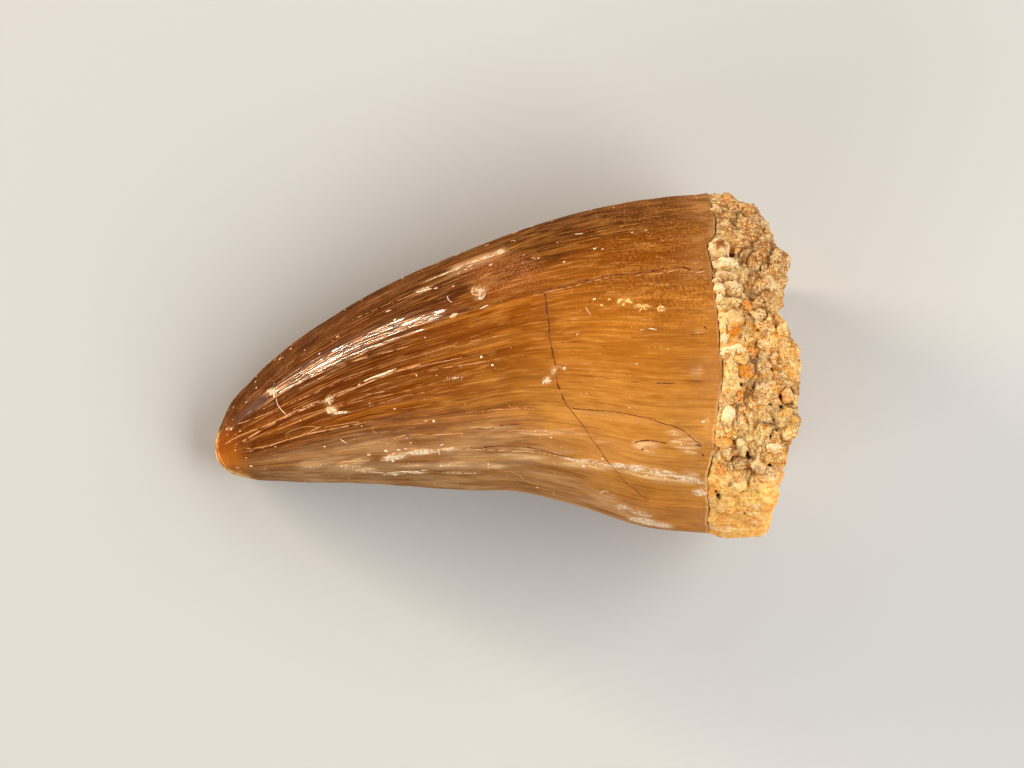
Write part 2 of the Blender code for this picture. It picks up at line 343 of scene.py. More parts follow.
def arc(x, y, radius, degrees=360):
    """Points along a circle round X and Y, from its right-hand end on through some degrees."""
    turns = np.radians(np.linspace(0, degrees, 9))
    return tuple((x + radius * math.cos(turn), y + radius * math.sin(turn)) for turn in turns)


# Thin crusts on the enamel and fine cracks through it. Each line is its half width, the share of
# it that shows and how pale it is (golden below 0.3), then X and Y along it.
PALE_LINES = (
    ((0.045, 0.98, 0.35), (-27.9, -8.0), (-26.3, -7.1), (-23.9, -6.2), (-21.9, -5.3), (-19.9, -4.3),
     (-17.9, -3.5)),
    ((0.034, 0.88, 0.35), (-16.5, -2.9), (-15.3, -2.5), (-14.1, -2.0)),
    ((0.076, 0.95, 0.8), (-14.1, -2.0), (-12.7, -1.3), (-11.2, -0.8), (-10.4, -0.4)),
    ((0.034, 0.98, 0.35), (-10.0, -0.6), (-7.7, -0.1), (-5.8, 0.3), (-3.3, 0.8)),
    ((0.038, 0.88, 0.35), (-26.5, -5.9), (-24.6, -5.3), (-22.3, -4.4)),
    ((0.026, 0.78, 0.35), (-21.0, -3.8), (-18.9, -3.0), (-16.8, -2.1), (-14.6, -1.2)),
    ((0.047, 1, 0.8), (-22.4, -3.3), (-22.3, -3.8), (-22.0, -4.3), (-21.4, -4.9)),
    ((0.034, 0.98, 0.35), (-25.7, -8.4), (-23.7, -8.2), (-21.4, -7.5), (-19.3, -6.8), (-17.8, -6.1)),
    ((0.026, 0.98, 0.35), (-17.6, -6.2), (-15.8, -5.9), (-13.8, -5.6)),
    ((0.022, 1, 0.35), (-21.4, -6.8), (-20.7, -6.5), (-19.7, -6.2), (-18.7, -6.1), (-18.1, -6.2)),
    ((0.022, 1, 0.35), (-21.41, -6.77), (-21.31, -7.18), (-21.22, -7.48)),
    ((0.043, 0.7, 0.8), (-15.85, -7.33), (-15.25, -7.73), (-14.94, -7.93)),
    ((0.093, 0.95, 0.8), (-11.41, 5.20), (-11.01, 5.40), (-10.66, 5.49)),
    ((0.026, 0.88, 0.35), (-10.6, 6.2), (-9.4, 6.7), (-8.2, 7.2)),
    ((0.085, 0.85, 0.8), (-8.2, 7.2), (-7.1, 7.5), (-6.4, 7.6), (-5.9, 7.7)),
    ((0.047, 1, 0.8), (-5.06, 6.82), (-5.00, 6.52), (-4.55, 6.12)),
    ((0.076, 0.7, 0.8), (-2.54, 7.79), (-1.85, 7.78), (-1.45, 7.38), (-1.35, 6.98), (-1.74, 6.49),
     (-2.04, 6.89), (-1.84, 7.38)),
    ((0.06, 1, 0.8), (-1.84, 5.50), (-1.05, 5.89)),
    # The next two lines, along the front edge, are a painted highlight raised as crust.
    ((0.093, 0.7, 0.8), (-4.5, 9.2), (-3.9, 9.7), (-2.9, 9.8), (-2.1, 10.4), (-0.4, 10.9), (0.1, 11.4)),
    ((0.06, 0.6, 0.8), (-4.3, 8.9), (-3.5, 9.4), (-2.7, 9.6)),
    ((0.03, 0.68, 0.35), (-8.7, 0.8), (-6.8, 1.3), (-5.3, 1.7), (-3.3, 2.2), (-1.8, 2.5), (0.1, 2.9)),
    ((0.034, 0.98, 0.35), (-9.04, -0.18), (-7.75, 0.12)),
    ((0.034, 0.98, 0.35), (-13.1, -2.9), (-10.9, -2.5)),
    ((0.026, 0.88, 0.35), (-13.1, -4.1), (-11.2, -3.6), (-9.2, -3.0), (-7.3, -2.7)),
    ((0.026, 0.78, 0.35), (-14.7, 4.5), (-12.6, 5.4), (-10.6, 6.3)),
    ((0.038, 0.93, 0.35), (-10.6, -7.5), (-9.9, -7.1), (-8.7, -6.9), (-5.3, -6.8), (-3.5, -6.7)),
    ((0.045, 0.8, 0.45), (-9.4, -8.3), (-7.8, -8.3), (-4.5, -8.3), (-1.8, -8.3), (0.1, -8.4), (3.1, -8.5),
     (4.5, -8.7), (5.7, -8.9)),
    ((0.047, 1, 0.8), (-5.90, -8.26), (-5.91, -8.56), (-5.81, -8.86)),
    ((0.068, 0.9, 0.8), (-5.80, -7.96), (-5.10, -7.56)),
    ((0.076, 0.9, 0.8), (-13.4, -10.6), (-11.3, -10.7), (-9.9, -10.6), (-7.1, -10.4)),
    ((0.041, 0.93, 0.35), (-4.5, -9.7), (-3.3, -9.5), (-2.3, -9.6), (-0.8, -10.1), (1.2, -10.5),
     (2.5, -11.2)),
    ((0.049, 0.98, 0.35), (0.8, -6.5), (2.1, -6.4), (3.5, -6.5), (4.5, -6.4), (7.4, -6.3)),
    ((0.034, 0.88, 0.35), (-3.3, -4.7), (-1.8, -4.6), (-0.4, -4.4), (1.6, -4.3), (3.5, -4.3)),
    ((0.034, 1, 0.35), (-12.68, -6.21), (-12.48, -6.51), (-12.08, -6.71)),
    ((0.043, 0.9, 0.8), (-7.37, -5.49), (-6.57, -5.39)),
    ((0.06, 0.5, 0.8), (-5.1, -1.3), (-3.5, -1.2)),
    ((0.068, 1, 0.8), (7.50, 12.90), (8.28, 12.94)),
    ((0.036, 0.8, 0.4), (3.4, 6.8), (5.5, 7.3), (7.0, 7.6), (8.9, 8.1), (10.8, 8.5), (13.7, 8.7), (15.7, 8.9),
     (17.6, 9.2), (19.0, 9.0), (20.0, 9.1)),
    ((0.038, 1, 0.8), (8.49, 5.63), (8.78, 5.14), (8.97, 4.90)),
    ((0.045, 0.88, 0.35), (7.42, 5.10), (7.71, 5.15), (7.91, 5.29), (8.10, 5.24)),
    ((0.051, 0.9, 0.8), (13.7, 3.4), (14.7, 3.5), (15.3, 3.4)),
    ((0.034, 0.88, 0.35), (6.0, 0.1), (7.4, 0.1), (9.1, 0.2)),
    ((0.051, 1, 0.8), (4.32, -1.95), (4.46, -1.56), (5.19, -1.51)),
    ((0.03, 0.88, 0.35), (9.3, -1.3), (11.6, -1.2)),
    ((0.051, 0.7, 0.8), (14.5, 1.7), (15.6, 1.7), (16.5, 1.5)),
    ((0.034, 0.9, 0.8), (9.96, -12.67), (10.24, -12.36), (10.73, -12.40), (10.83, -12.76)),
    ((0.15, 0.95, 0.1), (11.5, 6.0), (11.9, 6.35), (12.3, 6.1), (12.7, 6.45)),
    ((0.11, 1, 0.2), (10.6, 6.3), (10.9, 6.4)),
    ((0.13, 0.95, 0.15), (12.0, 5.75), (12.4, 6.2), (13.0, 6.0)), ((0.1, 1, 0.2), (9.9, 5.9), (10.1, 5.7)),
    ((0.07, 0.9, 0.15), *arc(13.55, 5.55, 0.33)), ((0.065, 0.95, 0.15), *arc(14.3, 5.6, 0.26)),
    ((0.075, 1, 0.2), *arc(15.75, 5.4, 0.3, 250)), ((0.05, 0.9, 0.5), *arc(-4.1, 12.0, 0.3, 200)),
    ((0.055, 0.9, 0.5), *arc(-2.2, 7.3, 0.45, 300)), ((0.04, 0.9, 0.5), *arc(3.3, 10.3, 0.28, 160)),
    ((0.045, 0.9, 0.5), *arc(1.4, 12.1, 0.3, 140)), ((0.04, 0.9, 0.4), *arc(-22.5, 1.0, 0.35, 220)),
    *(((0.024, 1, 0.5), (x, -1.55), (x + 0.08, -1.1)) for x in (-5.1, -4.85, -4.55, -4.3, -4.0, -3.7)),
)
CRACKS = (
    ((0.08, 0.92, 0), (4.5, 7.1), (4.6, 6.3), (4.7, 5.2), (4.9, 3.9), (4.9, 2.9), (5.1, 1.9), (5.3, 1.0),
     (5.5, 0.0), (5.6, -1.0), (5.7, -1.8), (6.0, -2.5), (6.2, -3.1), (6.6, -3.9)),
    ((0.043, 1, 0), (6.6, -3.9), (7.2, -4.6), (7.8, -5.4), (8.5, -6.3), (9.1, -7.3), (9.7, -8.0),
     (10.3, -8.9), (10.7, -9.5), (11.2, -10.0), (11.8, -10.7), (12.2, -11.3), (13.0, -11.9),
     (13.8, -12.6), (14.6, -13.3)),
    ((0.08, 0.92, 0), (3.4, 7.0), (4.6, 7.3), (6.2, 7.7), (7.6, 8.1), (8.9, 8.3), (9.9, 8.5)),
    ((0.093, 0.97, 0), (9.9, 8.5), (11.3, 8.8), (12.8, 8.8), (14.0, 9.0), (14.9, 9.1), (16.2, 9.3),
     (17.6, 9.5), (18.8, 9.2)),
    ((0.049, 0.92, 0), (18.76, 9.21), (19.54, 9.21), (20.12, 9.40)),
    ((0.049, 1, 0), (7.1, -4.2), (9.4, -4.4), (11.0, -4.5), (12.3, -4.7), (13.7, -5.0), (14.7, -5.2),
     (15.6, -5.6), (16.8, -5.9), (17.8, -6.3), (18.3, -6.7), (19.0, -7.3), (19.7, -7.8)),
    ((0.043, 0.92, 0), (-1.4, -4.5), (-0.4, -4.2), (1.1, -4.2), (2.0, -4.1), (3.5, -4.2)),
    ((0.049, 0.92, 0), (-2.3, -6.2), (-1.1, -6.3), (-0.2, -6.1), (0.4, -5.9), (2.1, -5.8)),
    ((0.055, 0.97, 0), (-2.8, -8.1), (-1.8, -8.2), (-0.9, -8.0), (1.1, -7.9), (3.1, -8.1), (4.5, -8.4),
     (5.8, -8.8)),
    ((0.043, 0.82, 0), (5.7, -8.8), (7.0, -9.0), (8.9, -9.4), (10.5, -9.6)),
    ((0.062, 0.97, 0), (13.1, -7.6), (13.7, -7.4), (14.7, -7.3), (15.7, -7.5), (16.3, -7.6)),
    ((0.074, 0.92, 0), (18.55, -7.71), (19.23, -7.71), (19.72, -7.96)),
    ((0.055, 1, 0), (-5.37, -2.29), (-4.88, -2.19)),
    ((0.055, 1, 0), (-4.09, 1.04), (-3.60, 1.09)),
    ((0.074, 1, 0), (6.86, 9.08), (7.06, 8.78)),
    ((0.062, 1, 0), (9.61, 14.88), (9.80, 14.60), (9.98, 14.38)),
    ((0.043, 0.92, 0), (6.0, 2.2), (8.2, 2.3)),
    ((0.049, 0.92, 0), (9.45, 1.93), (10.51, 1.78)),
    ((0.049, 1, 0), (12.72, -1.61), (13.49, -1.61)),
    ((0.055, 0.92, 0), (15.1, -1.8), (17.0, -1.8)),
    ((0.049, 0.92, 0), (18.5, 2.9), (20.2, 3.0)),
    ((0.043, 0.92, 0), (18.60, -1.56), (19.85, -1.66)), ((0.13, 1, 0), (13.8, -8.2), (14.1, -8.25)),
    ((0.12, 1, 0), (19.7, -8.7), (19.95, -8.75)), ((0.1, 1, 0), (19.85, 3.7), (20.15, 3.5)),
    ((0.12, 1, 0), (11.4, 14.6), (11.6, 14.65)), ((0.12, 1, 0), (18.0, 12.5), (18.25, 12.45)),
    ((0.07, 0.8, 0), (18.4, 11.2), (18.7, 12.1), (18.6, 12.9)), ((0.06, 0.9, 0), (16.9, 11.9), (17.5, 12.0)),
    ((0.06, 0.8, 0), (18.9, 1.8), (19.4, 2.2), (19.9, 2.0)), ((0.05, 0.8, 0), (19.3, -2.8), (20.0, -2.9)),
    ((0.05, 0.8, 0), (19.1, 5.9), (19.8, 6.0)), ((0.05, 0.8, 0), (19.4, 7.3), (20.0, 7.2)),
)
LINE_STEP = 0.15
LINE_HEIGHT = 0.04
LINE_DEPTH = 0.06
LINE_WAVER = 0.05
LINE_TAPER = 1.8  # in steps
CRACK_HEIGHT = 0.012


def joint_x(turn, inset):
    """X of the surface where crown and root meet: even in the middle, wavy and nicked at its edge."""
    edge = waves(wrapped(turn, JOINT_RADIUS, 0 * turn), JOINT_NICKS, around(JOINT_LINE, turn))
    level = np.mean([x for _, x in JOINT_LINE])
    return level + (edge - level) * inset**2 + PLAN_SHIFT[0]


def crown_form(share, turn, inset):
    """Points of the crown without its relief. Past the last section, the inset shapes the dome."""
    points = crown_surface(share, turn, inset)
    base_x = crown_surface(0 * share, turn, inset)[:, 0]
    points[:, 0] += (1 - smooth(0, JOINT_REACH, share)) * (joint_x(turn, inset) - base_x)
    last, before = crown_surface(np.array([1, NEAR_TIP]), np.zeros(2), np.zeros(2))
    tipwards = (last - before) / np.linalg.norm(last - before)
    bulge = TIP_DOME * (1 - inset**2)
    return points + np.outer(bulge * (share == 1), tipwards)


def make_crown():
    shares = [1 - (1 - i / CROWN_RINGS) ** TIPWARD_CROWDING for i in range(CROWN_RINGS + 1)]
    rings = [(0, inset) for inset in BASE_INSETS] + [(share, 1) for share in shares]
    rings += [(1, inset) for inset in DOME_INSETS]
    crown, turn, share, inset = ringed_tube("enamel_crown", CROWN_SIDES, rings)
    turn += UPWARD_CROWDING * np.cos(turn)
    set_points(crown, crown_form(share, turn, inset))
    fibre = wrapped(turn, FIBRE_RADIUS, CROWN_LENGTH * share)
    store(crown, fibre=fibre, share=share, tip_wear=np.where(share == 1, 1 - inset, 0))
    close_and_face_outwards(crown)
    carve_crown(crown)
    return crown


def crown_ridges(share, turn):
    """The long thin ridges, from 0 between them to 1 on a full crest."""
    chance = np.random.default_rng(11)
    rows = list(LONG_RIDGES)
    for number in range(SHORT_RIDGES):
        place = 360 * (number + chance.uniform(-0.4, 0.4)) / SHORT_RIDGES
        start = chance.uniform(0.2, 0.6)
        end = start + chance.uniform(0.2, 0.55)
        rows.append((place, place, start, end, chance.uniform(0.15, 0.6)))
    radius = along(THICKNESS, share) * SECTION_RADIUS
    ridges = np.zeros(len(share))
    for number, (start_turn, end_turn, start, end, strength) in enumerate(rows):
        passed = np.clip((share - start) / (end - start), 0, 1)
        place = np.radians(start_turn + (end_turn - start_turn) * passed)
        place += RIDGE_WAVER * np.sin(share * RIDGE_WAVES + number)
        off = np.abs((turn - place + math.pi) % (2 * math.pi) - math.pi) * radius
        ends = smooth(start, start + RIDGE_FADE, share) * (1 - smooth(end - RIDGE_FADE, end, share))
        ridges = np.maximum(ridges, np.exp(-((off / RIDGE_WIDTH) ** 2)) * strength * ends)
    return ridges


def marks(points, rows, upper):
    """How near each point is to the middle of a mark, from 0 outside to its strength inside."""
    nearness = np.zeros(len(points))
    side = np.where(upper, 1, -1)
    for x, y, length, width, angle, strength in rows:
        tilt = math.radians(angle)
        dx, dy = points[:, 0] - x, points[:, 1] * side - y
        u = (dx * math.cos(tilt) + dy * math.sin(tilt)) / length
        v = (dy * math.cos(tilt) - dx * math.sin(tilt)) / width
        nearness = np.maximum(nearness, strength * np.clip(1.5 - np.hypot(u, v), 0, 1))
    return nearness


def carve_crown(crown):
    """Raises the enamel's ridges, striae, flutes and crusts, and dents it. The worn tip stays smooth."""
    points, normals = points_of(crown), normals_of(crown)
    fibre, share = stored(crown, "fibre"), stored(crown, "share")
    upper = normals[:, 2] > -0.1
    ridges = crown_ridges(share, np.arctan2(fibre[:, 1], fibre[:, 0]))
    shown = np.where(upper, 1, smooth(0.4, 0.7, -normals[:, 2]))
    chalk, cream, grey = (
        shown * marks(points, rows, upper) for rows in (CHALK_AND_HIGHLIGHT_MARKS, CREAM_MARKS, GREY_MARKS)
    )
    on_side = smooth(0.003, 0.02, share) * (1 - stored(crown, "tip_wear"))
    drawn_out = 1 - smooth(0.9, 1, share)
    striae = rough(fibre * (1, 1, STRIA_STRETCH), STRIA_PITCH, 1) * smooth(0.05, 0.4, share)
    flutes = rough(fibre * (1, 1, FLUTE_STRETCH), FLUTE_PITCH, 2)
    dents = np.minimum(rough(points, DENT_SIZE, 5), 0)
    height = (RIDGE_HEIGHT * ridges + STRIA_HEIGHT * striae) * drawn_out
    height += FLUTE_HEIGHT * flutes + DENT_HEIGHT * dents
    crust = np.maximum(chalk, cream) + 0.4 * rough(points, 0.4, 7)
    height += CRUST_HEIGHT * smooth(0.3, 0.8, crust)
    raise_points(crown, points, normals, height * on_side)
    store(crown, ridge=ridges, chalk=chalk, cream=cream, grey=grey)


def cell_noise(points, size, seed=0):
    """Distances to the nearest and the next cell point, and a chance value for the nearest cell."""
    shift = Vector((seed * 3.7, seed * 11.9, seed * 7.3))
    near, next_near, chance = [], [], []
    for point in points:
        distances, cells = noise.voronoi(Vector(point) / size + shift)
        near.append(distances[0])
        next_near.append(distances[1])
        chance.append(noise.cell(cells[0] * 91.7) * 0.5 + 0.5)
    return np.array(near), np.array(next_near), np.array(chance)


ROOT_SIDES = 700
WALL_RINGS = 58
SHOULDER_RINGS = 6
END_RINGS = 46
LUMP_SIZE = 3.2
LUMP_HEIGHT = 0.9
WAVE_SIZE = 7.0
WAVE_HEIGHT = 0.7
KNOB_SIZE = 1.5
KNOB_HEIGHT = 0.38
CREVICE_DEPTH = 0.2
CREVICE_WIDTH = 0.12
CRUMB_SIZE = 0.5
CRUMB_HEIGHT = 0.12
WORM_SIZE = 0.45
WORM_HEIGHT = 0.1
FINE_WAVES = ((0.8, 0.16, 13), (0.35, 0.06, 14))  # size, height and seed of each noise
WARP_SIZE = 1.6
WARP_REACH = 0.5
PORE_SPACING = 1.4
PORE_DEPTH = 0.6
PORE_SHARE = 0.16
ON_TOP = 0.3  # the surface faces up where the Z of its normal is over this

# Pores on the upper side: X, Y and radius.
PORES = (
    (27.3, -4.2, 0.17), (27.2, -3.2, 0.15), (26.2, -3.9, 0.12), (26.9, -6.4, 0.12), (24.1, -8.7, 0.19),
    (24.2, -9.0, 0.16), (26.3, -9.5, 0.15), (21.2, -12.4, 0.16), (21.4, -12.8, 0.23), (22.7, -8.6, 0.12),
    (22.8, 10.9, 0.19), (22.0, 16.7, 0.12), (26.3, -7.0, 0.12), (28.2, -3.8, 0.15), (25.5, 6.3, 0.13),
    (25.0, 3.4, 0.12), (23.4, -1.9, 0.15), (26.4, -0.5, 0.13), (24.1, -14.1, 0.12), (22.6, -9.3, 0.13),
)

# Nodules on the root: X and Y of the middle, half sizes along X and Y, degrees turned, and how
# white, how orange and how yellow each is. An orange of 2 is an orange star in a pale shell, with painted
# shade on the star.
NODULES = (
    (21.3, 15.2, 0.59, 0.59, 0, 0.4, 0, 0.5), (21.5, 11.4, 1.2, 1.15, 0, 0.75, 2, 0.5),
    (22.0, 9.8, 1.3, 0.75, 0, 1, 0, 0.6), (22.0, 8.7, 1.2, 0.5, 0, 0.5, 0, 0.95),
    (21.3, 7.3, 0.63, 0.74, 0, 0.7, 0, 0.5), (22.8, 7.4, 0.97, 0.82, 0, 0.6, 0, 0.4),
    (22.2, 6.1, 1.45, 0.48, -8, 0.15, 0, 1), (22.5, 4.4, 1.35, 0.87, 0, 0.35, 0, 0.5),
    (22.7, 3.3, 0.63, 0.58, 0, 0, 1, 0.5), (21.6, 3.8, 0.31, 0.72, 0, 1, 0, 0.6),
    (22.4, 1.5, 1.06, 0.39, 15, 1, 0, 0.6), (24.4, 1.3, 0.58, 0.63, 0, 0, 1, 0.4),
    (22.1, -0.9, 0.63, 1.74, 0, 0.1, 0, 0.95), (24.0, -0.5, 0.87, 0.68, 20, 0, 1, 0.1),
    (26.5, -0.9, 0.34, 0.48, 0, 0, 1, 0.6), (22.2, -5.1, 0.63, 1.35, 0, 1, 0, 0.7),
    (23.3, -5.7, 0.73, 0.97, 0, 0.35, 0.15, 1), (23.3, -3.1, 0.48, 0.63, 0, 0, 0.9, 0.5),
    (21.8, -7.5, 0.73, 0.73, 0, 0, 0.8, 0.4), (22.2, -8.4, 0.63, 0.73, 0, 0.7, 0, 0.5),
    (23.5, -8.1, 0.63, 0.97, 0, 0.4, 0, 0.9), (21.7, -10.2, 0.97, 0.39, -45, 0, 1, 0.4),
    (26.7, -8.1, 0.73, 0.50, 0, 1, 0, 0.6), (25.4, -2.2, 0.63, 0.58, 0, 0.6, 0, 0.7),
    (26.3, -10.4, 0.48, 0.44, 0, 0.5, 0, 0.6), (25.1, -9.7, 0.97, 0.78, -40, 0.4, 0, 0.7),
    (23.4, -11.6, 0.83, 0.73, 0, 0.35, 0, 0.8), (24.0, 5.6, 0.63, 0.63, 0, 0, 0.8, 0.4),
    (25.1, 4.8, 0.77, 0.63, 0, 0.35, 0, 0.6), (26.5, 7.6, 0.83, 0.73, 0, 0.5, 0, 0.5),
    (25.4, 10.5, 0.73, 0.73, 0, 0, 0.15, 0.2), (27.1, 10.5, 0.63, 0.73, 0, 0.3, 0, 0.6),
    (24.5, 14.0, 1.27, 0.78, 10, 0.1, 0, 0.3), (25.2, 15.4, 0.54, 0.44, 0, 0.3, 0, 0.5),
    (23.1, 11.2, 0.54, 0.54, 0, 0, 0.7, 0.3), (26.2, 12.5, 0.83, 0.44, 30, 0.2, 0, 0.5),
    (23.0, 16.1, 0.69, 0.40, 10, 0.3, 0, 0.5), (27.6, 3.4, 0.58, 0.77, 0, 0.3, 0, 0.7),
    (25.7, 1.9, 0.68, 0.58, 0, 0.2, 0.1, 0.8), (27.9, -2.9, 0.58, 0.77, 0, 0.4, 0, 0.6),
    (21.75, 2.5, 0.3, 0.6, -10, 1, 0, 0.6), (23.5, 1.4, 0.6, 0.33, 5, 1, 0, 0.6),
    (21.2, 6.4, 0.3, 0.55, -15, 0.9, 0, 0.6), (22.9, 9.6, 0.55, 0.3, -20, 0.9, 0, 0.5),
    (21.2, 8.2, 0.5, 0.28, 20, 0.9, 0, 0.6), (22.2, 13.7, 0.5, 0.4, 0, 0.7, 0, 0.5),
)
ROUND_NODULES = 9  # the first few, which are rounder than the rest
SPARE_NODULES = 80
SPARE_BEYOND = (22.8, -11.5, 1)  # they lie where X, Y and Z are over these
NODULE_SINK = 0.3
NODULE_PUSH = 0.42  # how far a nodule is pushed out of round
ROUND_PUSH = 0.2
NODULE_LUMPS = ((0.5, 0.24, 9), (0.22, 0.16, 10), (0.1, 0.06, 11))  # as above
GROOVE_DEPTH = 0.15
GROOVE_PLACE = 1.08  # as a share of the nodule's half size
GROOVE_WIDTH = 0.14
GROOVE_REACH = 1.2


def root_form(kind, value, turn):
    """Points of the root without its relief: joint face (0), side (1), shoulder (2) and end (3)."""
    inset = np.where(kind == 0, value, 1)
    start = crown_surface(0 * value, turn, inset)
    ragged = rough(wrapped(turn, JOINT_RADIUS, 0 * turn), 0.7, 12)
    start[:, 0] = joint_x(turn, inset) + JOINT_CRACK * np.maximum(0.55 + 0.9 * ragged, 0.12)
    half_depth = (RIM_TOP - RIM_BOTTOM) / 2
    across, up = oval(turn, RIM_HALF_WIDTH, half_depth)
    rim = np.column_stack([0 * across, across, up])
    outward = rim / np.linalg.norm(rim, axis=1)[:, None]
    centre = np.array([0, RIM_CENTRE_Y + PLAN_SHIFT[1], RIM_BOTTOM + half_depth])
    edge = around(RIM_LINE, turn) + PLAN_SHIFT[0]
    side = start + (centre + rim - start) * np.sqrt(np.clip(value, 0, 1))[:, None]
    side[:, 0] = start[:, 0] + (edge - SHOULDER - start[:, 0]) * value
    round_off = (1 - value) * math.pi / 2
    shoulder = centre + rim - outward * (SHOULDER * (1 - np.cos(round_off)))[:, None]
    shoulder[:, 0] = edge - SHOULDER + SHOULDER * np.sin(round_off)
    end = centre + (rim - outward * SHOULDER) * value[:, None]
    level = END_LEVEL + PLAN_SHIFT[0]
    end[:, 0] = level + (edge - level) * value**5 - PULP_HOLLOW * (1 - value**2) ** 2
    return np.select([(kind == k)[:, None] for k in range(4)], [start, side, shoulder, end])


def make_root():
    rings = [(0, inset) for inset in BASE_INSETS]
    rings += [(1, i / WALL_RINGS) for i in range(WALL_RINGS)]
    rings += [(2, 1 - i / SHOULDER_RINGS) for i in range(SHOULDER_RINGS)]
    rings += [(3, 1 - i / END_RINGS) for i in range(END_RINGS + 1)]
    root, turn, kind, value = ringed_tube("root_bone", ROOT_SIDES, rings)
    set_points(root, root_form(kind, value, turn))
    reach = np.select([kind == 0, kind == 1], [0 * value, value * 4], 1)
    store(root, reach=np.minimum(reach, 1))
    close_and_face_outwards(root)
    carve_root(root)
    return root


def carve_root(root):
    """Breaks the root's surface into lumps, knobs, crumbs, crevices and pores."""
    points, normals = points_of(root), normals_of(root)
    plan = points - (*PLAN_SHIFT, 0)
    near, _, _ = cell_noise(plan, LUMP_SIZE)
    height = LUMP_HEIGHT * (0.5 - near**1.5) + WAVE_HEIGHT * rough(plan, WAVE_SIZE)
    warp = sway(points, WARP_SIZE, 21) * WARP_REACH
    # The bone is smoother towards the rear edge.
    coarse = 1 - 0.65 * smooth(-10, -13, points[:, 1])
    near, next_near, chance = cell_noise(points + warp, KNOB_SIZE, 2)
    broken = smooth(-0.15, 0.35, rough(points, 3.0, 8)) * coarse
    height += KNOB_HEIGHT * coarse * (smooth(0.7, 0.05, near) * chance - 0.25)
    crevice = np.exp(-(((next_near - near) / CREVICE_WIDTH) ** 2)) * broken
    height -= CREVICE_DEPTH * crevice
    near, _, tone = cell_noise(points + warp * 0.6, CRUMB_SIZE, 5)
    height += CRUMB_HEIGHT * coarse * (0.55 - near)
    worms = np.abs(rough(points + warp * 0.5, WORM_SIZE, 6))
    height += WORM_HEIGHT * (0.6 + 0.4 * coarse) * (1 - 4 * worms.clip(0, 0.35))
    height += coarse * waves(points, FINE_WAVES)
    hole, _, has_hole = cell_noise(points, PORE_SPACING, 4)
    on_top = normals[:, 2] > ON_TOP
    pore = smooth(0.24, 0.14, hole) * (has_hole < PORE_SHARE) * ~on_top
    for x, y, size in PORES:
        away = np.hypot(points[:, 0] - x, points[:, 1] - y) / size
        pore = np.maximum(pore, smooth(1.2, 0.6, away) * on_top)
    height -= PORE_DEPTH * pore
    raise_points(root, points, normals, height * stored(root, "reach"))
    # The crevice, worm and pore masks also darken the bone's colour, as painted shade.
    store(root, crevice=crevice, valley=worms, pore=pore, tone=tone)


def nodule_rows(root, points, normals):
    """The root's point under each nodule and the rest of its row: those listed, then scattered ones."""
    chance = np.random.default_rng(5)
    rows = []
    for x, y, *rest in NODULES:
        far = np.hypot(points[:, 0] - x, points[:, 1] - y) + 20 * (normals[:, 2] < ON_TOP)
        rows.append((np.argmin(far), *rest))
    open_bone = (stored(root, "reach") > 0.9) & (points > SPARE_BEYOND).all(axis=1)
    for index in chance.choice(np.flatnonzero(open_bone), SPARE_NODULES, replace=False):
        size = chance.uniform(0.25, 0.85) * (0.6 if normals[index, 2] > ON_TOP else 1)
        longer = size * chance.uniform(1, 1.4)
        white, orange = chance.choice((0, 0, 0, 0.5)), chance.choice((0, 0, 0, 0, 0.6))
        yellow = chance.uniform(0.3, 0.9)
        rows.append((index, longer, size, chance.uniform(0, 180), white, orange, yellow))
    return rows


def nodule_tints(ball, number, white, orange):
    """How white and how orange each point of a nodule is, and how much painted shade, as of a hollow, lies on
    its core.
    """
    patchy = smooth(-0.7, 0.3, ball[:, 1] + 0.8 * rough(ball + number * 3, 0.5, 2))
    if orange <= 1:
        return white * patchy, orange, 0
    off = np.hypot(ball[:, 0], ball[:, 1])
    star = off * (1 + 0.3 * np.cos(4 * np.arctan2(ball[:, 1], ball[:, 0])))
    core = smooth(0.52, 0.3, star + 0.15 * rough(ball + number, 0.4, 3)) * (ball[:, 2] > 0)
    return white * (1 - core) * (0.4 + 0.6 * patchy), core, 0.9 * core


def make_nodules(root):
    """Rounded lumps half sunk in the root, most of them in a row along the crown."""
    points, normals = points_of(root), normals_of(root)
    rows = nodule_rows(root, points, normals)
    large_ball, small_ball = ball_shape(4), ball_shape(3)
    groove = np.zeros(len(points))
    shapes = []
    for number, (index, half_x, half_y, angle, white, orange, yellow) in enumerate(rows):
        ball, corners = large_ball if number < len(NODULES) else small_ball
        close = np.linalg.norm(points - points[index], axis=1) < max(half_x, half_y)
        up = Vector(normals[close].mean(axis=0)).normalized()
        across = (Vector((0, 1, 0)) - up * up.y).normalized()
        axes = np.array([across.cross(up), across, up])
        cosine, sine = math.cos(math.radians(angle)), math.sin(math.radians(angle))
        turned = np.array([[cosine, sine, 0], [-sine, cosine, 0], [0, 0, 1]])
        depth = min(half_x, half_y) * (0.6 if orange == 1 else 1)
        middle = points[close].mean(axis=0) - np.array(up) * depth * NODULE_SINK
        own = ball + number * 3
        push = ROUND_PUSH if number < ROUND_NODULES else NODULE_PUSH
        pushed = ball + push * sway(own, 0.75, 31)
        shape = pushed * (half_x, half_y, depth) * waves(own, NODULE_LUMPS, 1)[:, None]
        shape = np.maximum(shape @ turned @ axes + middle, FLOOR)
        if white > 0.3 or orange == 1:
            beside = (points - middle) @ axes.T @ turned.T
            away = np.hypot(beside[:, 0] / half_x, beside[:, 1] / half_y)
            ring = np.exp(-(((away - GROOVE_PLACE) / GROOVE_WIDTH) ** 2))
            groove = np.maximum(groove, ring * (np.abs(beside[:, 2]) < GROOVE_REACH))
        white, orange, painted_hollow = nodule_tints(ball, number, white, orange)
        tints = {"white": white, "orange": orange, "tone": yellow, "crevice": painted_hollow, "valley": 0.2}
        shapes.append((shape, corners, tints))
    raise_points(root, points, normals, -GROOVE_DEPTH * groove * stored(root, "reach"))
    return joined("root_nodules", shapes)


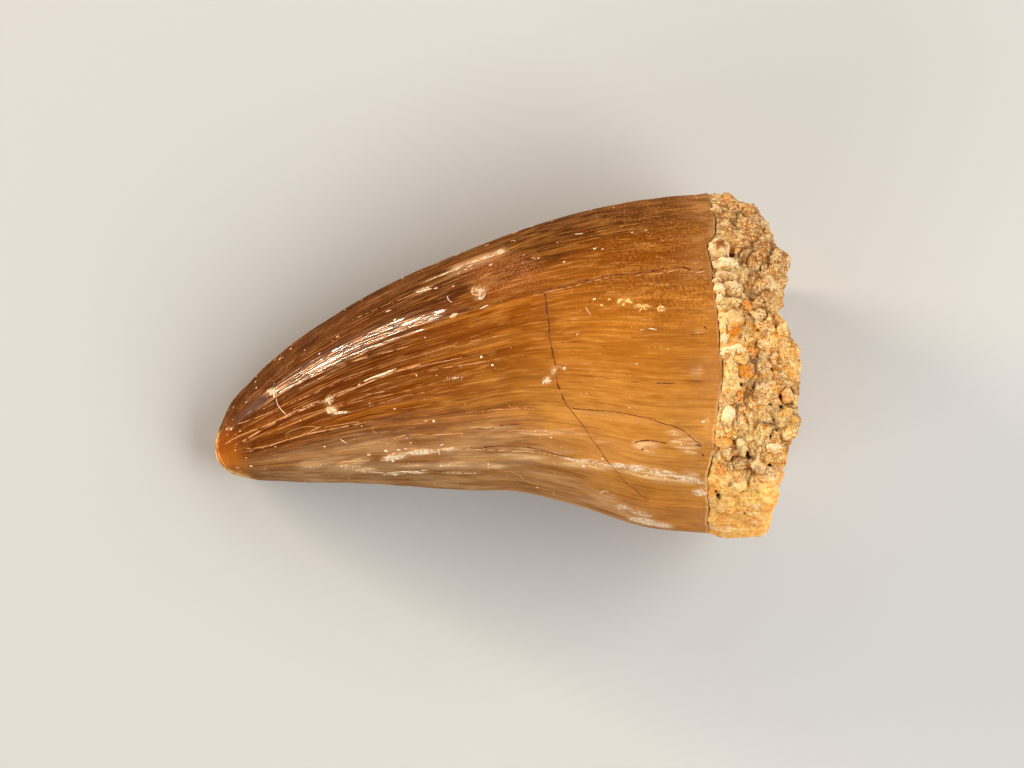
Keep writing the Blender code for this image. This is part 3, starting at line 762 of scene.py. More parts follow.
# Scattered flecks, along the front edge and on the crusts: how many, and their smallest and largest
# size. The front edge is where the first fibre coordinate is over FRONT_FROM.
FLECK_SIZES = ((260, 0.03, 0.1), (22, 0.05, 0.11), (150, 0.04, 0.12))
FRONT_FROM = 11.9
FLECK_SINK = 0.2

# Larger crumbs: X and Y of the middle, half length and half width.
LARGE_FLECKS = (
    (-4.4, 4.9, 0.52, 0.2), (-22.9, -2.8, 0.34, 0.2), (-22.6, -3.1, 0.16, 0.16), (-4.5, 7.8, 0.15, 0.13),
    (-10.3, 4.5, 0.18, 0.13), (-1.7, 0.8, 0.15, 0.13), (-0.6, 0.0, 0.14, 0.1), (-8.1, -1.0, 0.1, 0.09),
    (-6.4, -5.5, 0.14, 0.14), (3.8, -12.1, 0.15, 0.1), (-16.1, 2.9, 0.22, 0.12), (-19.9, -1.7, 0.17, 0.12),
    (-22.2, 0.7, 0.18, 0.12), (-21.1, 1.7, 0.13, 0.1), (9.3, 6.4, 0.16, 0.1), (9.4, 11.4, 0.2, 0.08),
    (3.9, 10.5, 0.18, 0.09), (6.4, 10.1, 0.14, 0.1), (19.8, -5.5, 0.2, 0.1), (-11.2, -8.5, 0.2, 0.15),
    (-10.4, -8.8, 0.26, 0.17), (-9.9, -8.4, 0.25, 0.13), (-9.2, -8.3, 0.17, 0.12), (-12.9, -8.9, 0.28, 0.14),
    (-4.6, -9.7, 0.22, 0.12), (0.1, 11.4, 0.2, 0.12), (-1.2, 12.0, 0.3, 0.1), (-0.8, 9.9, 0.22, 0.14),
    (1.6, 13.9, 0.32, 0.09), (3.3, 14.4, 0.2, 0.08), (14.4, 13.2, 0.13, 0.1), (5.4, -9.6, 0.16, 0.1),
)


def ball_shape(subdivisions):
    """Points and faces of a ball of radius 1."""
    bpy.ops.object.select_all(action="DESELECT")
    bpy.ops.mesh.primitive_ico_sphere_add(subdivisions=subdivisions, radius=1)
    ball = bpy.context.object
    points = points_of(ball)
    faces = np.array([tuple(face.vertices) for face in ball.data.polygons])
    bpy.data.objects.remove(ball)
    return points, faces


def joined(name, shapes):
    """One piece of many small shapes: each is its points, its faces and its values to store."""
    points, faces, values = zip(*shapes)
    starts = np.cumsum([0] + [len(own) for own in points])
    corners = [own + start for own, start in zip(faces, starts)]
    mesh = bpy.data.meshes.new(name)
    mesh.from_pydata(np.concatenate(points), [], np.concatenate(corners).tolist())
    piece = placed(name, mesh)
    for kind in values[0]:
        spread = [np.broadcast_to(own[kind], len(place)) for own, place in zip(values, points)]
        store(piece, **{kind: np.concatenate(spread)})
    return piece


def top_of(tree, x, y):
    """The highest point of the shape at X and Y, and the way that its surface faces there."""
    spot, facing = None, None
    while spot is None:
        spot, facing, _, _ = tree.ray_cast(Vector((x, y, 100)), Vector((0, 0, -1)))
        y -= math.copysign(0.1, y)
    return spot, facing


def make_flecks(crown, tree):
    """Crumbs of pale rock stuck to the enamel: scattered, along the front edge and on the crusts."""
    points, normals = points_of(crown), normals_of(crown)
    share, fibre = stored(crown, "share"), stored(crown, "fibre")
    crusted = np.maximum(stored(crown, "chalk"), stored(crown, "cream"))
    small_ball, large_ball = ball_shape(1), ball_shape(2)
    chance = np.random.default_rng(3)
    on_side = (share > 0.02) & (share < 0.97)
    front = on_side & (fibre[:, 0] > FRONT_FROM)
    picks = []
    for places, (count, small, large) in zip((on_side, front, crusted > 0.5), FLECK_SIZES):
        for index in chance.choice(np.flatnonzero(places), count):
            size = small + (large - small) * chance.uniform(0, 1) ** 2
            sizes = size * np.array([chance.uniform(1, 2.2), chance.uniform(0.7, 1), 0.6])
            picks.append((points[index], normals[index], sizes, small_ball))
    for x, y, long, wide in LARGE_FLECKS:
        spot, facing = top_of(tree, x, y)
        picks.append((np.array(spot), facing, np.array((long, wide, 0.45 * wide)), large_ball))
    shapes = []
    for number, (spot, facing, sizes, (ball, corners)) in enumerate(picks):
        up = Vector(facing)
        along_x = (Vector((1, 0.3, 0)) - up * (up.x + 0.3 * up.y)).normalized()
        axes = np.array([along_x, up.cross(along_x), up])
        bumpy = 1 + 0.45 * rough(ball + number * 2, 0.8, 12)[:, None]
        shape = (ball * sizes * bumpy) @ axes + spot - np.array(up) * sizes[2] * FLECK_SINK
        shapes.append((np.maximum(shape, FLOOR), corners, {"paleness": chance.uniform(0.35, 1)}))
    return joined("rock_flecks", shapes)


def make_lines(name, tree, rows, height):
    """Thin raised lines that follow the surface along each path, broken here and there."""
    ring = np.arange(4)
    beside = (ring + 1) % 4
    shapes = []
    for number, ((width, shows, paleness), *path) in enumerate(rows):
        corners = np.array(path)
        length = np.linalg.norm(np.diff(corners, axis=0), axis=1).sum()
        plan = along(corners, np.linspace(0, 1, max(5, round(length / LINE_STEP))))
        spots, facings = (np.array(part) for part in zip(*(top_of(tree, x, y) for x, y in plan)))
        sideways = np.cross(facings, np.gradient(spots, axis=0))
        sideways /= np.linalg.norm(sideways, axis=1)[:, None]
        spots += sideways * (LINE_WAVER * rough(spots, 0.6, number))[:, None]
        torn = rough(spots, 0.3, number)
        shown = torn <= np.quantile(torn, shows)
        for run in np.split(np.arange(len(spots)), np.flatnonzero(np.diff(shown)) + 1):
            if len(run) < 2 or not shown[run[0]]:
                continue
            count = np.arange(len(run))
            taper = np.minimum(1, (np.minimum(count, count[::-1]) + 0.5) / LINE_TAPER)
            here, up = spots[run], facings[run]
            half = (width * taper * (1 + 0.7 * rough(here, 0.2, number + 50)))[:, None]
            out = sideways[run] * half
            sides = np.stack([here + out, here + up * height, here - out, here - up * LINE_DEPTH], axis=1)
            quads = [np.column_stack([ring, beside, beside + 4, ring + 4]) + 4 * i for i in count[:-1]]
            faces = np.concatenate([*quads, [ring[::-1], ring + 4 * count[-1]]])
            shapes.append((sides.reshape(-1, 3), faces, {"paleness": paleness}))
    lines = joined(name, shapes)
    close_and_face_outwards(lines)
    return lines


def srgb(red, green, blue):
    """The linear colour of an ordinary 0 to 255 one."""
    values = np.array([red, green, blue]) / 255
    linear = np.where(values < 0.04045, values / 12.92, ((values + 0.055) / 1.055) ** 2.4)
    return (*linear, 1)


class Nodes:
    """A node tree, with short ways to add the nodes that the materials here use."""

    def __init__(self, tree):
        self.tree = tree

    def add(self, kind, inputs=None, **settings):
        node = self.tree.nodes.new(kind if kind.startswith("Node") else "ShaderNode" + kind)
        for setting, value in settings.items():
            setattr(node, setting, value)
        for socket, value in (inputs or {}).items():
            self.put(node.inputs[socket], value)
        return node

    def put(self, socket, value):
        if isinstance(value, bpy.types.NodeSocket):
            self.tree.links.new(value, socket)
        else:
            socket.default_value = value

    def math(self, operation, a, b=0.0, c=0.0):
        return self.add("Math", {0: a, 1: b, 2: c}, operation=operation).outputs[0]

    def vector(self, operation, a, b):
        return self.add("VectorMath", {0: a, 1: b}, operation=operation).outputs[0]

    def scaled(self, vector, factor):
        return self.add("VectorMath", {0: vector, "Scale": factor}, operation="SCALE").outputs[0]

    def times(self, *values):
        result = values[0]
        for value in values[1:]:
            result = self.math("MULTIPLY", result, value)
        return result

    def plus(self, value, factor, base):
        """base + factor * value"""
        return self.math("MULTIPLY_ADD", value, factor, base)

    def minus(self, a, b):
        return self.math("SUBTRACT", a, b)

    def largest(self, a, b):
        return self.math("MAXIMUM", a, b)

    def layered(self, colour, *layers):
        """The colour with others over it, the lowest first. A row is amounts to multiply, then a colour."""
        for *amounts, over in layers:
            over = srgb(*over) if isinstance(over, tuple) else over
            inputs = {0: self.times(*amounts), 6: colour, 7: over}
            colour = self.add("Mix", inputs, data_type="RGBA").outputs[2]
        return colour

    def rise(self, value, low, high):
        """0 below low and 1 above high, with a smooth rise between them, or a fall if low is more."""
        inputs = {"Value": value, "From Min": low, "From Max": high}
        return self.add("MapRange", inputs, interpolation_type="SMOOTHSTEP").outputs[0]

    def slide(self, value, low, high, at_low, at_high):
        """An even slide from one number where the value is low to another where it is high."""
        return self.add("MapRange", {"Value": value, 1: low, 2: high, 3: at_low, 4: at_high}).outputs[0]

    def noise(self, vector, scale, detail=2.0, roughness=0.5):
        inputs = {"Vector": vector, "Scale": scale, "Detail": detail, "Roughness": roughness}
        return self.add("TexNoise", inputs).outputs[0]

    def cell_edges(self, vector, scale):
        inputs = {"Vector": vector, "Scale": scale}
        return self.add("TexVoronoi", inputs, feature="DISTANCE_TO_EDGE").outputs["Distance"]

    def stored(self, name, output="Fac"):
        return self.add("Attribute", attribute_name=name).outputs[output]

    def millimetres(self):
        """The point on the surface, in millimetres."""
        return self.scaled(self.add("TexCoord").outputs["Object"], 1000)

    def parts(self, vector):
        return self.add("SeparateXYZ", {0: vector}).outputs

    def use(self, tree, **inputs):
        """The outputs of a copy of the node group with these inputs."""
        node = self.tree.nodes.new("ShaderNodeGroup")
        node.node_tree = tree
        for socket, value in inputs.items():
            self.put(node.inputs[socket], value)
        return node.outputs

    def bump(self, height):
        """The normal of the surface with this height on it, in millimetres."""
        return self.add("Bump", {"Height": height, "Distance": MM, "Strength": 1.0}).outputs[0]


def node_group(name, output, **inputs):
    """A new node group: its nodes, its inputs by name, and the input socket to connect its result to."""
    tree = bpy.data.node_groups.new(name, "ShaderNodeTree")
    for socket, kind in inputs.items():
        tree.interface.new_socket(socket, in_out="INPUT", socket_type="NodeSocket" + kind)
    tree.interface.new_socket(output, in_out="OUTPUT", socket_type="NodeSocketFloat")
    nodes = Nodes(tree)
    entry = nodes.add("NodeGroupInput").outputs
    return nodes, entry, nodes.add("NodeGroupOutput").inputs[0]


def fibre_streaks():
    """Streaks that run lengthwise, from 0 to 1."""
    nodes, entry, result = node_group(
        "fibre_streaks", "Streaks", Fibre="Vector", Fineness="Float", Stretch="Float", Detail="Float"
    )
    stretch = nodes.add("CombineXYZ", {0: 1, 1: 1, 2: entry["Stretch"]}).outputs[0]
    drawn = nodes.vector("MULTIPLY", entry["Fibre"], stretch)
    nodes.put(result, nodes.noise(drawn, entry["Fineness"], entry["Detail"], 0.55))
    return result.id_data


def ragged_mark():
    """A mark with a torn edge: where the nearness to its middle and the grain add up to enough."""
    nodes, entry, result = node_group(
        "ragged_mark", "Mark", Nearness="Float", Grain="Float", Softness="Float"
    )
    total = nodes.math("ADD", entry["Nearness"], nodes.plus(entry["Grain"], 3.4, -1.7))
    inside = nodes.rise(total, 0.5, nodes.math("ADD", 0.5, entry["Softness"]))
    nodes.put(result, nodes.times(inside, nodes.rise(entry["Nearness"], 0.02, 0.1)))
    return result.id_data


def crumb_pattern():
    """A crumbly pattern: how near the gap between two crumbs is, and a chance value for each crumb."""
    nodes, entry, result = node_group("crumb_pattern", "Gap", Place="Vector", Size="Float")
    nodes.tree.interface.new_socket("Tone", in_out="OUTPUT", socket_type="NodeSocketFloat")
    drift = nodes.add("TexNoise", {"Vector": entry["Place"], "Scale": 1.7, "Detail": 3.0}).outputs["Color"]
    moved = nodes.vector("ADD", entry["Place"], nodes.scaled(drift, 0.9))
    fineness = nodes.math("DIVIDE", 1.0, entry["Size"])
    nodes.put(result, nodes.rise(nodes.cell_edges(moved, fineness), 0.16, 0.02))
    tone = nodes.add("TexVoronoi", {"Vector": moved, "Scale": fineness}).outputs["Color"]
    nodes.put(nodes.tree.nodes["Group Output"].inputs["Tone"], nodes.parts(tone)[0])
    return result.id_data


def new_finish(name):
    """A new material, its nodes, and its shader's own sockets."""
    material = bpy.data.materials.new(name)
    material.use_nodes = True
    return material, Nodes(material.node_tree), material.node_tree.nodes["Principled BSDF"].inputs


def ground_layers(nodes, share, front):
    """Gold by the joint, amber in the middle, deeper towards the tip."""
    rise, times = nodes.rise, nodes.times
    rear_gold = times(rise(front, 0.1, -0.4), rise(share, 0.5, 0.2))
    low_rear = times(rise(front, -0.74, -0.86), rise(share, 0.25, 0.15))
    return (
        (rise(share, 0.14, 0.34), (112, 57, 9)),
        (rise(share, 0.32, 0.6), (82, 36, 4)),
        (rear_gold, 0.55, (214, 148, 68)),
        (low_rear, 0.8, (186, 112, 36)),
    )


def band_layers(nodes, share, medium, wavering):
    """Bands along the fibres, darkest towards the front edge, where the enamel's own dark colour carries
    painted shade.
    """
    rise, times = nodes.rise, nodes.times
    mahogany_and_shade = rise(nodes.minus(wavering, nodes.slide(share, 0.05, 0.5, 0.86, 0.4)), -0.14, 0.1)
    mahogany_and_shade = times(mahogany_and_shade, rise(share, -0.1, 0.3), rise(share, 1.0, 0.9))
    return (
        (rise(medium, 0.5, 0.62), rise(share, 0.12, 0.45), 0.75, (70, 30, 6)),
        (rise(medium, 0.46, 0.34), 0.35, (176, 106, 30)),
        # The last three layers darken the upper side towards the front edge: the enamel's own dark colour and
        # painted shade.
        (rise(wavering, 0.32, 0.54), rise(share, 0.4, 0.2), 0.8, (106, 53, 10)),
        (mahogany_and_shade, 0.92, (54, 23, 8)),
        (rise(wavering, 0.6, 0.9), rise(share, -0.3, 0.35), 0.88, (40, 16, 6)),
    )


def film_and_sheen_layers(nodes, film_and_sheen, mark, grain, grains):
    """The greyish film over the rear third, partly a painted sheen, and the grey marks."""
    rise, times, plus = nodes.rise, nodes.times, nodes.plus
    broad, medium, fine, hair = grains
    wisps = plus(grain(0.75, 0.22, 6.0), 0.7, times(fine, 0.3))
    smoke = grain(0.42, 0.4, 4.0)
    film_and_sheen_tone = nodes.layered(
        srgb(122, 83, 46),
        (rise(wisps, 0.34, 0.66), (186, 142, 96)),
        (rise(smoke, 0.48, 0.68), plus(fine, 0.6, 0.25), (202, 162, 116)),
        (rise(smoke, 0.5, 0.34), plus(hair, 0.6, 0.15), (122, 80, 42)),
    )
    grey = nodes.use(mark, Nearness=nodes.stored("grey"), Grain=medium, Softness=0.5)[0]
    return (
        (film_and_sheen, rise(broad, 0.2, 0.5), 0.85, film_and_sheen_tone),
        (grey, 0.4, (176, 140, 106)),
    )


def hair_layers(nodes, share, film_and_sheen, fine, hair):
    """Dark hairs along the fibres and pale ones."""
    rise = nodes.rise
    fineness = nodes.slide(share, 0.15, 0.5, 0.12, 0.6)
    return (
        (rise(fine, 0.5, 0.64), fineness, nodes.plus(film_and_sheen, -0.65, 1.0), (80, 36, 8)),
        (rise(hair, 0.5, 0.7), 0.4, (112, 58, 14)),
        (rise(hair, 0.48, 0.3), 0.3, (214, 146, 70)),
    )


def patch_layers(nodes, place, cloud, mottle):
    """Broad clouds, a stained patch, and a leathery one with dimples whose pale dots are a painted glint."""
    rise = nodes.rise

    def patch(middle, half_length, half_width):
        """1 near the middle on either side, down to 0 at the ends of an oval round it."""
        away = nodes.vector("SUBTRACT", place, middle)
        away = nodes.vector("MULTIPLY", away, (1 / half_length, 1 / half_width, 0))
        return rise(nodes.add("VectorMath", {0: away}, operation="LENGTH").outputs["Value"], 1.0, 0.38)

    leathery, stained = patch((0.7, 9.0, 0), 5.3, 2.9), patch((13.9, 5.9, 0), 4.6, 1.5)
    dimple_glints = rise(nodes.cell_edges(place, 4.5), 0.1, 0.35)
    return (
        (rise(cloud, 0.45, 0.7), 0.25, (110, 62, 30)),
        (stained, rise(mottle, 0.35, 0.6), 0.5, (130, 70, 18)),
        (leathery, 0.3, (132, 74, 36)),
        (dimple_glints, leathery, 0.38, (210, 150, 104)),
    )


def dash_layers(nodes, place, share, front, dashes, mottle, grain):
    """Mottling and short dashes, strongest by the joint, and long thin lines."""
    rise, times, plus = nodes.rise, nodes.times, nodes.plus
    near_joint = rise(share, 0.6, 0.3)
    contour = nodes.math("ABSOLUTE", nodes.minus(grain(2.4, 0.012, 1.0), 0.5))
    long_lines = times(rise(contour, 0.018, 0.004), rise(share, 0.3, 0.5), rise(front, -0.5, 0.2))
    return (
        (rise(mottle, 0.5, 0.66), near_joint, 0.3, (140, 74, 18)),
        (rise(mottle, 0.5, 0.36), near_joint, 0.15, (216, 146, 62)),
        (rise(dashes, 0.52, 0.68), plus(near_joint, 0.14, 0.14), (112, 56, 12)),
        (rise(dashes, 0.46, 0.3), plus(near_joint, 0.14, 0.08), (232, 168, 90)),
        (long_lines, rise(nodes.noise(place, 0.5), 0.35, 0.6), 0.5, (204, 142, 92)),
    )


def speck_layers(nodes, share, front, speckle):
    """Specks on the upper side by the joint."""
    rise = nodes.rise
    by_root = nodes.times(rise(share, 0.28, 0.05), rise(front, 0.0, 0.45))
    return (
        (rise(speckle, 0.53, 0.6), by_root, 0.7, (92, 46, 14)),
        (rise(speckle, 0.42, 0.34), by_root, 0.4, (222, 162, 92)),
    )


def crest_layers(nodes, place, share, front, speckle, mottle):
    """Broken pale crests on the front cutting edge, ridge crests paled partly with a painted glint, and the
    joint's paler rim.
    """
    rise, times, plus = nodes.rise, nodes.times, nodes.plus
    keel = times(rise(front, 0.9991, 0.99995), rise(nodes.noise(place, 0.6), 0.35, 0.65))
    crest_and_glint = times(rise(nodes.stored("ridge"), 0.35, 0.7), rise(nodes.noise(place, 0.9), 0.35, 0.6))
    by_joint = times(rise(share, 0.08, 0.0), rise(plus(speckle, 0.5, mottle), 0.6, 0.9), 0.7)
    joint_rim = times(rise(share, 0.008, 0.003), rise(speckle, 0.4, 0.55))
    return (
        (keel, 0.3, (176, 112, 62)),
        (crest_and_glint, 0.75, (206, 150, 104)),
        (by_joint, plus(rise(front, 0.2, 0.8), 0.3, 0.4), (200, 146, 88)),
        (joint_rim, plus(rise(front, 0.0, -0.4), 0.3, 0.2), (232, 190, 134)),
    )


def crusts(nodes, place, mark, speckle, hair, dashes):
    """Where the thin wash, the cream crusts and the chalk crusts lie; the chalk marks along the front edge
    are a painted highlight.
    """
    rise, times, plus = nodes.rise, nodes.times, nodes.plus
    dust = nodes.noise(place, 9.0, 2, 0.6)
    torn = plus(hair, 0.35, plus(speckle, 0.35, times(dashes, 0.3)))
    streaky = plus(dashes, 0.6, times(torn, 0.4))
    near_cream, near_chalk = nodes.stored("cream"), nodes.stored("chalk")
    wash = times(rise(nodes.largest(near_cream, near_chalk), 0.05, 0.7), rise(streaky, 0.34, 0.62))
    cream = nodes.use(mark, Nearness=near_cream, Grain=streaky, Softness=0.7)[0]
    cream = times(cream, plus(rise(dust, 0.35, 0.6), 0.3, 0.6))
    chalk = nodes.use(mark, Nearness=near_chalk, Grain=torn, Softness=0.42)[0]
    chalk = times(chalk, plus(rise(dust, 0.3, 0.6), 0.4, 0.55))
    return wash, cream, chalk


def tip_layers(nodes, place, share, front, speckle):
    """The tip's deep colour, its worn end, and a pale band round the rim with a thin line inside it."""
    rise, times = nodes.rise, nodes.times
    x, y, z = nodes.parts(place)
    height = nodes.plus(speckle, 0.5, z)
    on_rim = times(rise(y, -6.3, -7.6), rise(x, -24.4, -26.4))
    on_rim = times(on_rim, rise(height, 2.9, 3.4), rise(nodes.noise(place, 1.6), 0.28, 0.55))
    band = times(rise(height, 4.25, 3.95), on_rim, 0.85)
    inner_line = times(rise(height, 4.4, 4.5), rise(height, 4.72, 4.6), on_rim, 0.6)
    golden = times(rise(share, 0.9, 0.98), rise(front, 0.3, -0.4), rise(z, 2.6, 3.6))
    return (
        (rise(share, 0.88, 0.99), rise(front, 0.9, 0.5), 0.6, (128, 62, 10)),
        (rise(nodes.stored("tip_wear"), 0.05, 0.4), (128, 62, 10)),
        (golden, 0.6, (166, 98, 30)),
        (nodes.largest(band, inner_line), (208, 164, 100)),
    )


def enamel():
    """The crown's glossy finish, its colours laid one over the other from the ground up."""
    material, nodes, sockets = new_finish("enamel")
    rise, times, plus = nodes.rise, nodes.times, nodes.plus
    streaks, mark = fibre_streaks(), ragged_mark()
    share, fibre = nodes.stored("share"), nodes.stored("fibre", "Vector")
    place = nodes.millimetres()
    across, up, _ = nodes.parts(fibre)
    front = nodes.math("DIVIDE", across, FIBRE_RADIUS)

    def grain(fineness, stretch, detail=3.0):
        return nodes.use(streaks, Fibre=fibre, Fineness=fineness, Stretch=stretch, Detail=detail)[0]

    broad, medium, fine, hair = grain(0.35, 0.06), grain(1.1, 0.05), grain(3.5, 0.03), grain(8.0, 0.03)
    dashes, mottle = grain(4.5, 0.12), grain(0.8, 0.35)
    cloud = nodes.noise(place, 0.3, 3, 0.6)
    speckle = nodes.noise(place, 4.0, 3, 0.7)

    # The finest lengthwise lines, the way from rear to front made to waver, and the reach of the greyish
    # film, which is partly a painted sheen.
    phase = plus(grain(0.25, 0.1), 9.0, times(nodes.math("ARCTAN2", up, across), LINES_ROUND))
    lines = nodes.math("SINE", phase)
    lined = times(rise(share, 0.3, 0.5), rise(front, -0.2, 0.2), rise(broad, 0.3, 0.5))
    wavering = plus(broad, 0.5, plus(medium, 0.25, nodes.minus(front, 0.375)))
    film_and_sheen = rise(nodes.minus(wavering, nodes.slide(share, 0.08, 0.32, -0.9, -0.36)), 0.12, -0.3)
    film_and_sheen = times(film_and_sheen, plus(rise(share, 0.7, 0.95), -0.5, 1.0))
    wash, cream, chalk = crusts(nodes, place, mark, speckle, hair, dashes)
    chalk_tone = nodes.layered(srgb(206, 164, 124), (rise(speckle, 0.4, 0.6), (244, 226, 196)))

    colour = nodes.layered(
        srgb(162, 98, 28),
        *ground_layers(nodes, share, front),
        *band_layers(nodes, share, medium, wavering),
        *film_and_sheen_layers(nodes, film_and_sheen, mark, grain, (broad, medium, fine, hair)),
        *hair_layers(nodes, share, film_and_sheen, fine, hair),
        *patch_layers(nodes, place, cloud, mottle),
        *dash_layers(nodes, place, share, front, dashes, mottle, grain),
        *speck_layers(nodes, share, front, speckle),
        (rise(lines, 0.1, -0.8), lined, 0.4, (58, 24, 8)),
        *crest_layers(nodes, place, share, front, speckle, mottle),
        (wash, 0.5, (224, 180, 130)),
        (cream, 0.85, (238, 194, 134)),
        (chalk, chalk_tone),
        *tip_layers(nodes, place, share, front, speckle),
    )
    nodes.put(sockets["Base Color"], colour)

    polish = times(rise(front, 0.4, 0.49), rise(front, 0.68, 0.6), rise(share, 0.2, 0.45))
    polish = times(polish, rise(share, 0.95, 0.85), rise(cloud, 0.8, 0.5))
    below = rise(up, -1.0, -4.0)
    nodes.put(sockets["Coat Weight"], plus(polish, 0.78, plus(below, 0.2, 0.05)))
    sockets["Coat Roughness"].default_value = 0.07
    sockets["Specular IOR Level"].default_value = 0.0
    roughness = plus(film_and_sheen, 0.12, plus(medium, 0.16, 0.2))
    nodes.put(sockets["Roughness"], plus(nodes.largest(cream, chalk), 0.4, roughness))
    relief = plus(hair, 0.003, times(plus(polish, -0.8, 1.0), speckle, 0.007))
    relief = plus(times(lines, lined), 0.0035, plus(fine, 0.006, relief))
    nodes.put(sockets["Normal"], nodes.bump(plus(chalk, 0.04, relief)))
    return material


def bone():
    material, nodes, sockets = new_finish("root_bone")
    rise, times, plus, layered = nodes.rise, nodes.times, nodes.plus, nodes.layered
    crumbs = crumb_pattern()
    place = nodes.millimetres()
    x, y, _ = nodes.parts(place)
    tone, white = nodes.stored("tone"), nodes.stored("white")
    cloud = nodes.noise(place, 0.35, 3, 0.6)
    blotch = nodes.noise(nodes.vector("ADD", place, (31, 7, 5)), 0.6, 4, 0.65)
    bleach = nodes.noise(nodes.vector("ADD", place, (3, 17, 51)), 0.55, 4, 0.65)
    worn_smooth = rise(plus(blotch, 6, y), -6.5, -9.5)
    broken = nodes.minus(1.0, nodes.largest(times(worn_smooth, 0.85), times(white, 0.5)))
    gap, crumb = nodes.use(crumbs, Place=place, Size=0.32)
    fine_gap, fine_crumb = nodes.use(crumbs, Place=place, Size=0.17)

    # The bone itself, bleached in patches and duller towards the front.
    colour = layered(
        srgb(255, 200, 100),
        (rise(cloud, 0.36, 0.62), (254, 166, 58)),
        (rise(blotch, 0.54, 0.66), 0.6, (234, 142, 34)),
        (rise(bleach, 0.5, 0.64), 0.6, (255, 226, 180)),
        (rise(tone, 0.6, 0.95), 0.5, (255, 222, 140)),
        (rise(tone, 0.35, 0.02), 0.4, (212, 140, 66)),
        (rise(plus(cloud, 8, y), 7, 14), 0.9, (176, 124, 70)),
    )

    # Crumbs, each a little paler or browner than the rest, with brown gaps between them, pale and
    # orange nodules, and fibres in the smooth part.
    scattered = rise(nodes.noise(place, 1.1, 2), 0.42, 0.6)
    fibres = nodes.noise(nodes.vector("MULTIPLY", place, (0.25, 1, 1)), 3.2, 3, 0.6)
    colour = layered(
        colour,
        (rise(crumb, 0.55, 0.85), broken, 0.7, (255, 228, 158)),
        (rise(crumb, 0.24, 0.06), broken, 0.5, (200, 116, 34)),
        (rise(fine_crumb, 0.65, 0.85), 0.45, (255, 228, 160)),
        (rise(fine_crumb, 0.24, 0.08), 0.2, (186, 96, 20)),
        (white, plus(bleach, 0.9, 0.35), (255, 234, 188)),
        (nodes.stored("orange"), plus(blotch, 0.8, 0.4), (226, 130, 24)),
        (gap, scattered, broken, 0.42, (112, 42, 6)),
        (fine_gap, broken, 0.08, (160, 86, 26)),
        (rise(fibres, 0.48, 0.62), worn_smooth, 0.4, (190, 112, 44)),
    )

    # Dark winding lines, swirls in patches, and painted shade in the crevices, the worm hollows and the
    # pores.
    winding = nodes.math("ABSOLUTE", nodes.minus(nodes.noise(place, 2.1, 1.0), 0.5))
    wormy = times(rise(winding, 0.05, 0.01), rise(plus(cloud, 6, x), 25, 28), 0.55)
    swirl = nodes.math("SINE", times(nodes.noise(place, 0.9, 2.0), 75.0))
    patches = times(rise(nodes.noise(place, 0.8, 2.0), 0.44, 0.58), broken)
    colour = layered(
        colour,
        (wormy, broken, (124, 56, 16)),
        (rise(swirl, 0.2, 0.8), patches, 0.5, (134, 58, 10)),
        (rise(swirl, -0.2, -0.8), patches, 0.5, (255, 230, 170)),
        (rise(nodes.stored("valley"), 0.22, 0.36), 0.25, (150, 68, 14)),
        (nodes.stored("crevice"), 0.75, (92, 38, 10)),
        (nodes.stored("pore"), (44, 24, 12)),
    )
    nodes.put(sockets["Base Color"], colour)
    sockets["Roughness"].default_value = 0.75
    sockets["Specular IOR Level"].default_value = 0.08
    relief = times(nodes.math("ADD", gap, fine_gap), broken, -0.02)
    nodes.put(sockets["Normal"], nodes.bump(plus(nodes.noise(place, 3.0, 4, 0.7), 0.09, relief)))
    return material


def rock():
    material, nodes, sockets = new_finish("rock_crumbs")
    paleness = nodes.stored("paleness")
    shade = nodes.plus(nodes.noise(nodes.millimetres(), 0.7, 3), 0.6, paleness)
    colour = nodes.layered(
        srgb(192, 126, 64),
        (nodes.rise(shade, 0.5, 1.3), (240, 220, 190)),
        (nodes.rise(paleness, 0.3, 0.2), (240, 182, 84)),
    )
    nodes.put(sockets["Base Color"], colour)
    sockets["Roughness"].default_value = 0.7
    return material


# Dark slivers along the enamel's cracks: painted shade standing in for the open gaps.
def crack_shade():
    material, nodes, sockets = new_finish("crack_shade")
    shade = nodes.rise(nodes.noise(nodes.millimetres(), 1.2, 3), 0.4, 0.6)
    nodes.put(sockets["Base Color"], nodes.layered(srgb(88, 44, 22), (shade, (132, 76, 40))))
    sockets["Roughness"].default_value = 0.8
    sockets["Specular IOR Level"].default_value = 0.1
    return material


def settle(piece, material, node):
    """Brings a finished piece to metres and puts it in the frame, in place of its CAD node."""
    set_points(piece, points_of(piece) * MM)
    piece.data.materials.clear()
    piece.data.materials.append(material)
    piece.data.shade_smooth()
    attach(piece, "root")
    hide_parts(node)


# The studio.
CAMERA_PLACE = (1.3, -1.85, 439.67)
LENS = 150
SENSOR = 36
FLOOR_SIZE = 4  # in metres, as the distance and the width of the soft boxes are
SOFTBOX_DISTANCE = 0.6
SKY_STRENGTH = 0.12

# Soft boxes: azimuth and elevation of both ends, width, strength and colour.
SOFTBOXES = (
    ("key", (170, 3), (137, 18), 0.008, 2100, (1, 0.85, 0.66)),
    ("second", (172, 14), (158, 30), 0.02, 24, (1, 0.85, 0.64)),
    ("low_left", (-150, 28), (-100, 28), 0.2, 18, (1, 1, 1)),
    ("right", (-40, 36), (40, 36), 0.3, 20, (1, 1, 1)),
    ("back", (60, 36), (110, 36), 0.15, 5, (1, 1, 1)),
)


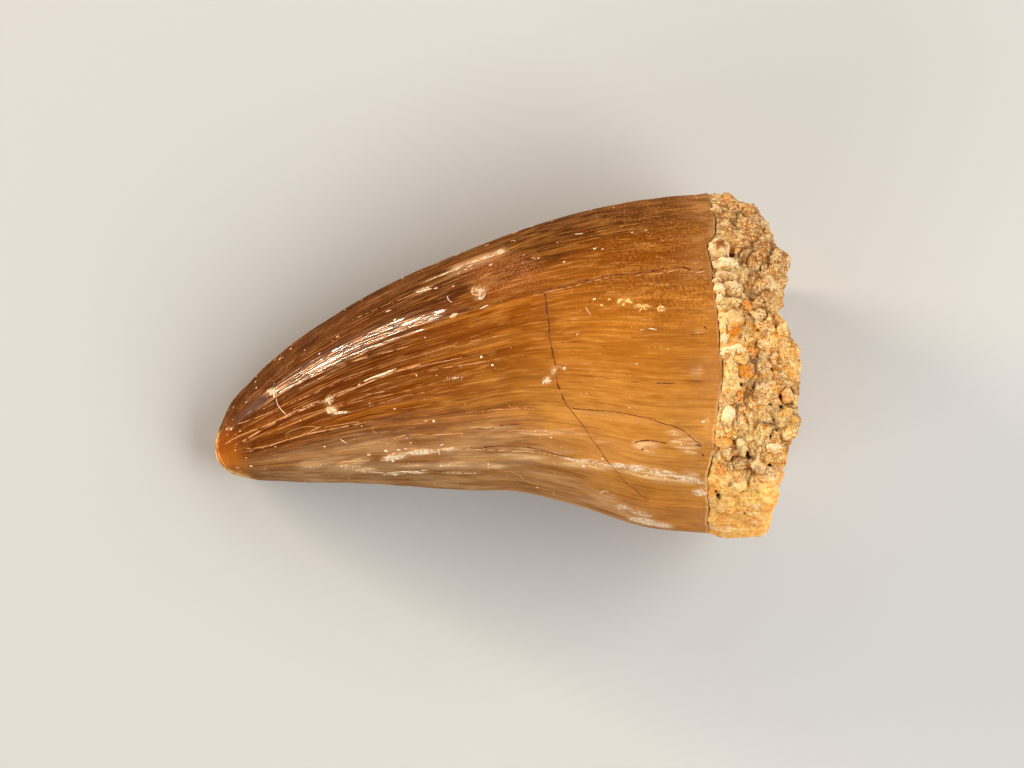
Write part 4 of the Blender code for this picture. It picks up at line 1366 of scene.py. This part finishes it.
def make_floor():
    bpy.ops.object.select_all(action="DESELECT")
    bpy.ops.mesh.primitive_plane_add(size=FLOOR_SIZE)
    floor = bpy.context.object
    floor.name = "floor"
    material, _, sockets = new_finish("pale_floor")
    sockets["Base Color"].default_value = srgb(188, 186, 182)
    sockets["Roughness"].default_value = 0.9
    floor.data.materials.append(material)


def direction(azimuth, elevation):
    turn, lift = math.radians(azimuth), math.radians(elevation)
    return Vector((math.cos(lift) * math.cos(turn), math.cos(lift) * math.sin(turn), math.sin(lift)))


def softbox(name, start, end, width, strength, colour):
    """A soft box from one direction to another, turned towards the tooth."""
    start, end = direction(*start) * SOFTBOX_DISTANCE, direction(*end) * SOFTBOX_DISTANCE
    middle, length = (start + end) / 2, (end - start).length
    light = bpy.data.lights.new(name, "AREA")
    light.shape = "RECTANGLE"
    light.size = length
    light.size_y = width
    light.energy = strength * length * width
    light.color = colour
    facing = middle.normalized()
    run = (end - start).normalized()
    run = (run - facing * run.dot(facing)).normalized()
    turned = Matrix((run, facing.cross(run), facing)).transposed().to_4x4()
    turned.translation = middle
    placed(name, light).matrix_world = turned


def make_studio():
    make_floor()
    for box in SOFTBOXES:
        softbox(*box)
    world = bpy.data.worlds.new("studio")
    bpy.context.scene.world = world
    world.use_nodes = True
    sky = world.node_tree.nodes["Background"].inputs
    sky["Color"].default_value = (1, 1, 1, 1)
    sky["Strength"].default_value = SKY_STRENGTH
    camera = bpy.data.cameras.new("camera")
    camera.lens = LENS
    camera.sensor_width = SENSOR
    holder = placed("camera", camera)
    holder.location = [measure * MM for measure in CAMERA_PLACE]
    bpy.context.scene.camera = holder
    bpy.context.scene.view_settings.view_transform = "Standard"


crown = make_crown()
crown_top = BVHTree.FromObject(crown, bpy.context.evaluated_depsgraph_get())
flecks = make_flecks(crown, crown_top)
crust_and_highlight_lines = make_lines("crust_and_highlight_lines", crown_top, PALE_LINES, LINE_HEIGHT)
cracks = make_lines("enamel_cracks", crown_top, CRACKS, CRACK_HEIGHT)
root = make_root()
nodules = make_nodules(root)
bone_finish, rock_finish = bone(), rock()
settle(crown, enamel(), "crown")
settle(flecks, rock_finish, "crown")
settle(crust_and_highlight_lines, rock_finish, "crown")
settle(cracks, crack_shade(), "crown")
settle(root, bone_finish, "root")
settle(nodules, bone_finish, "root")
make_studio()
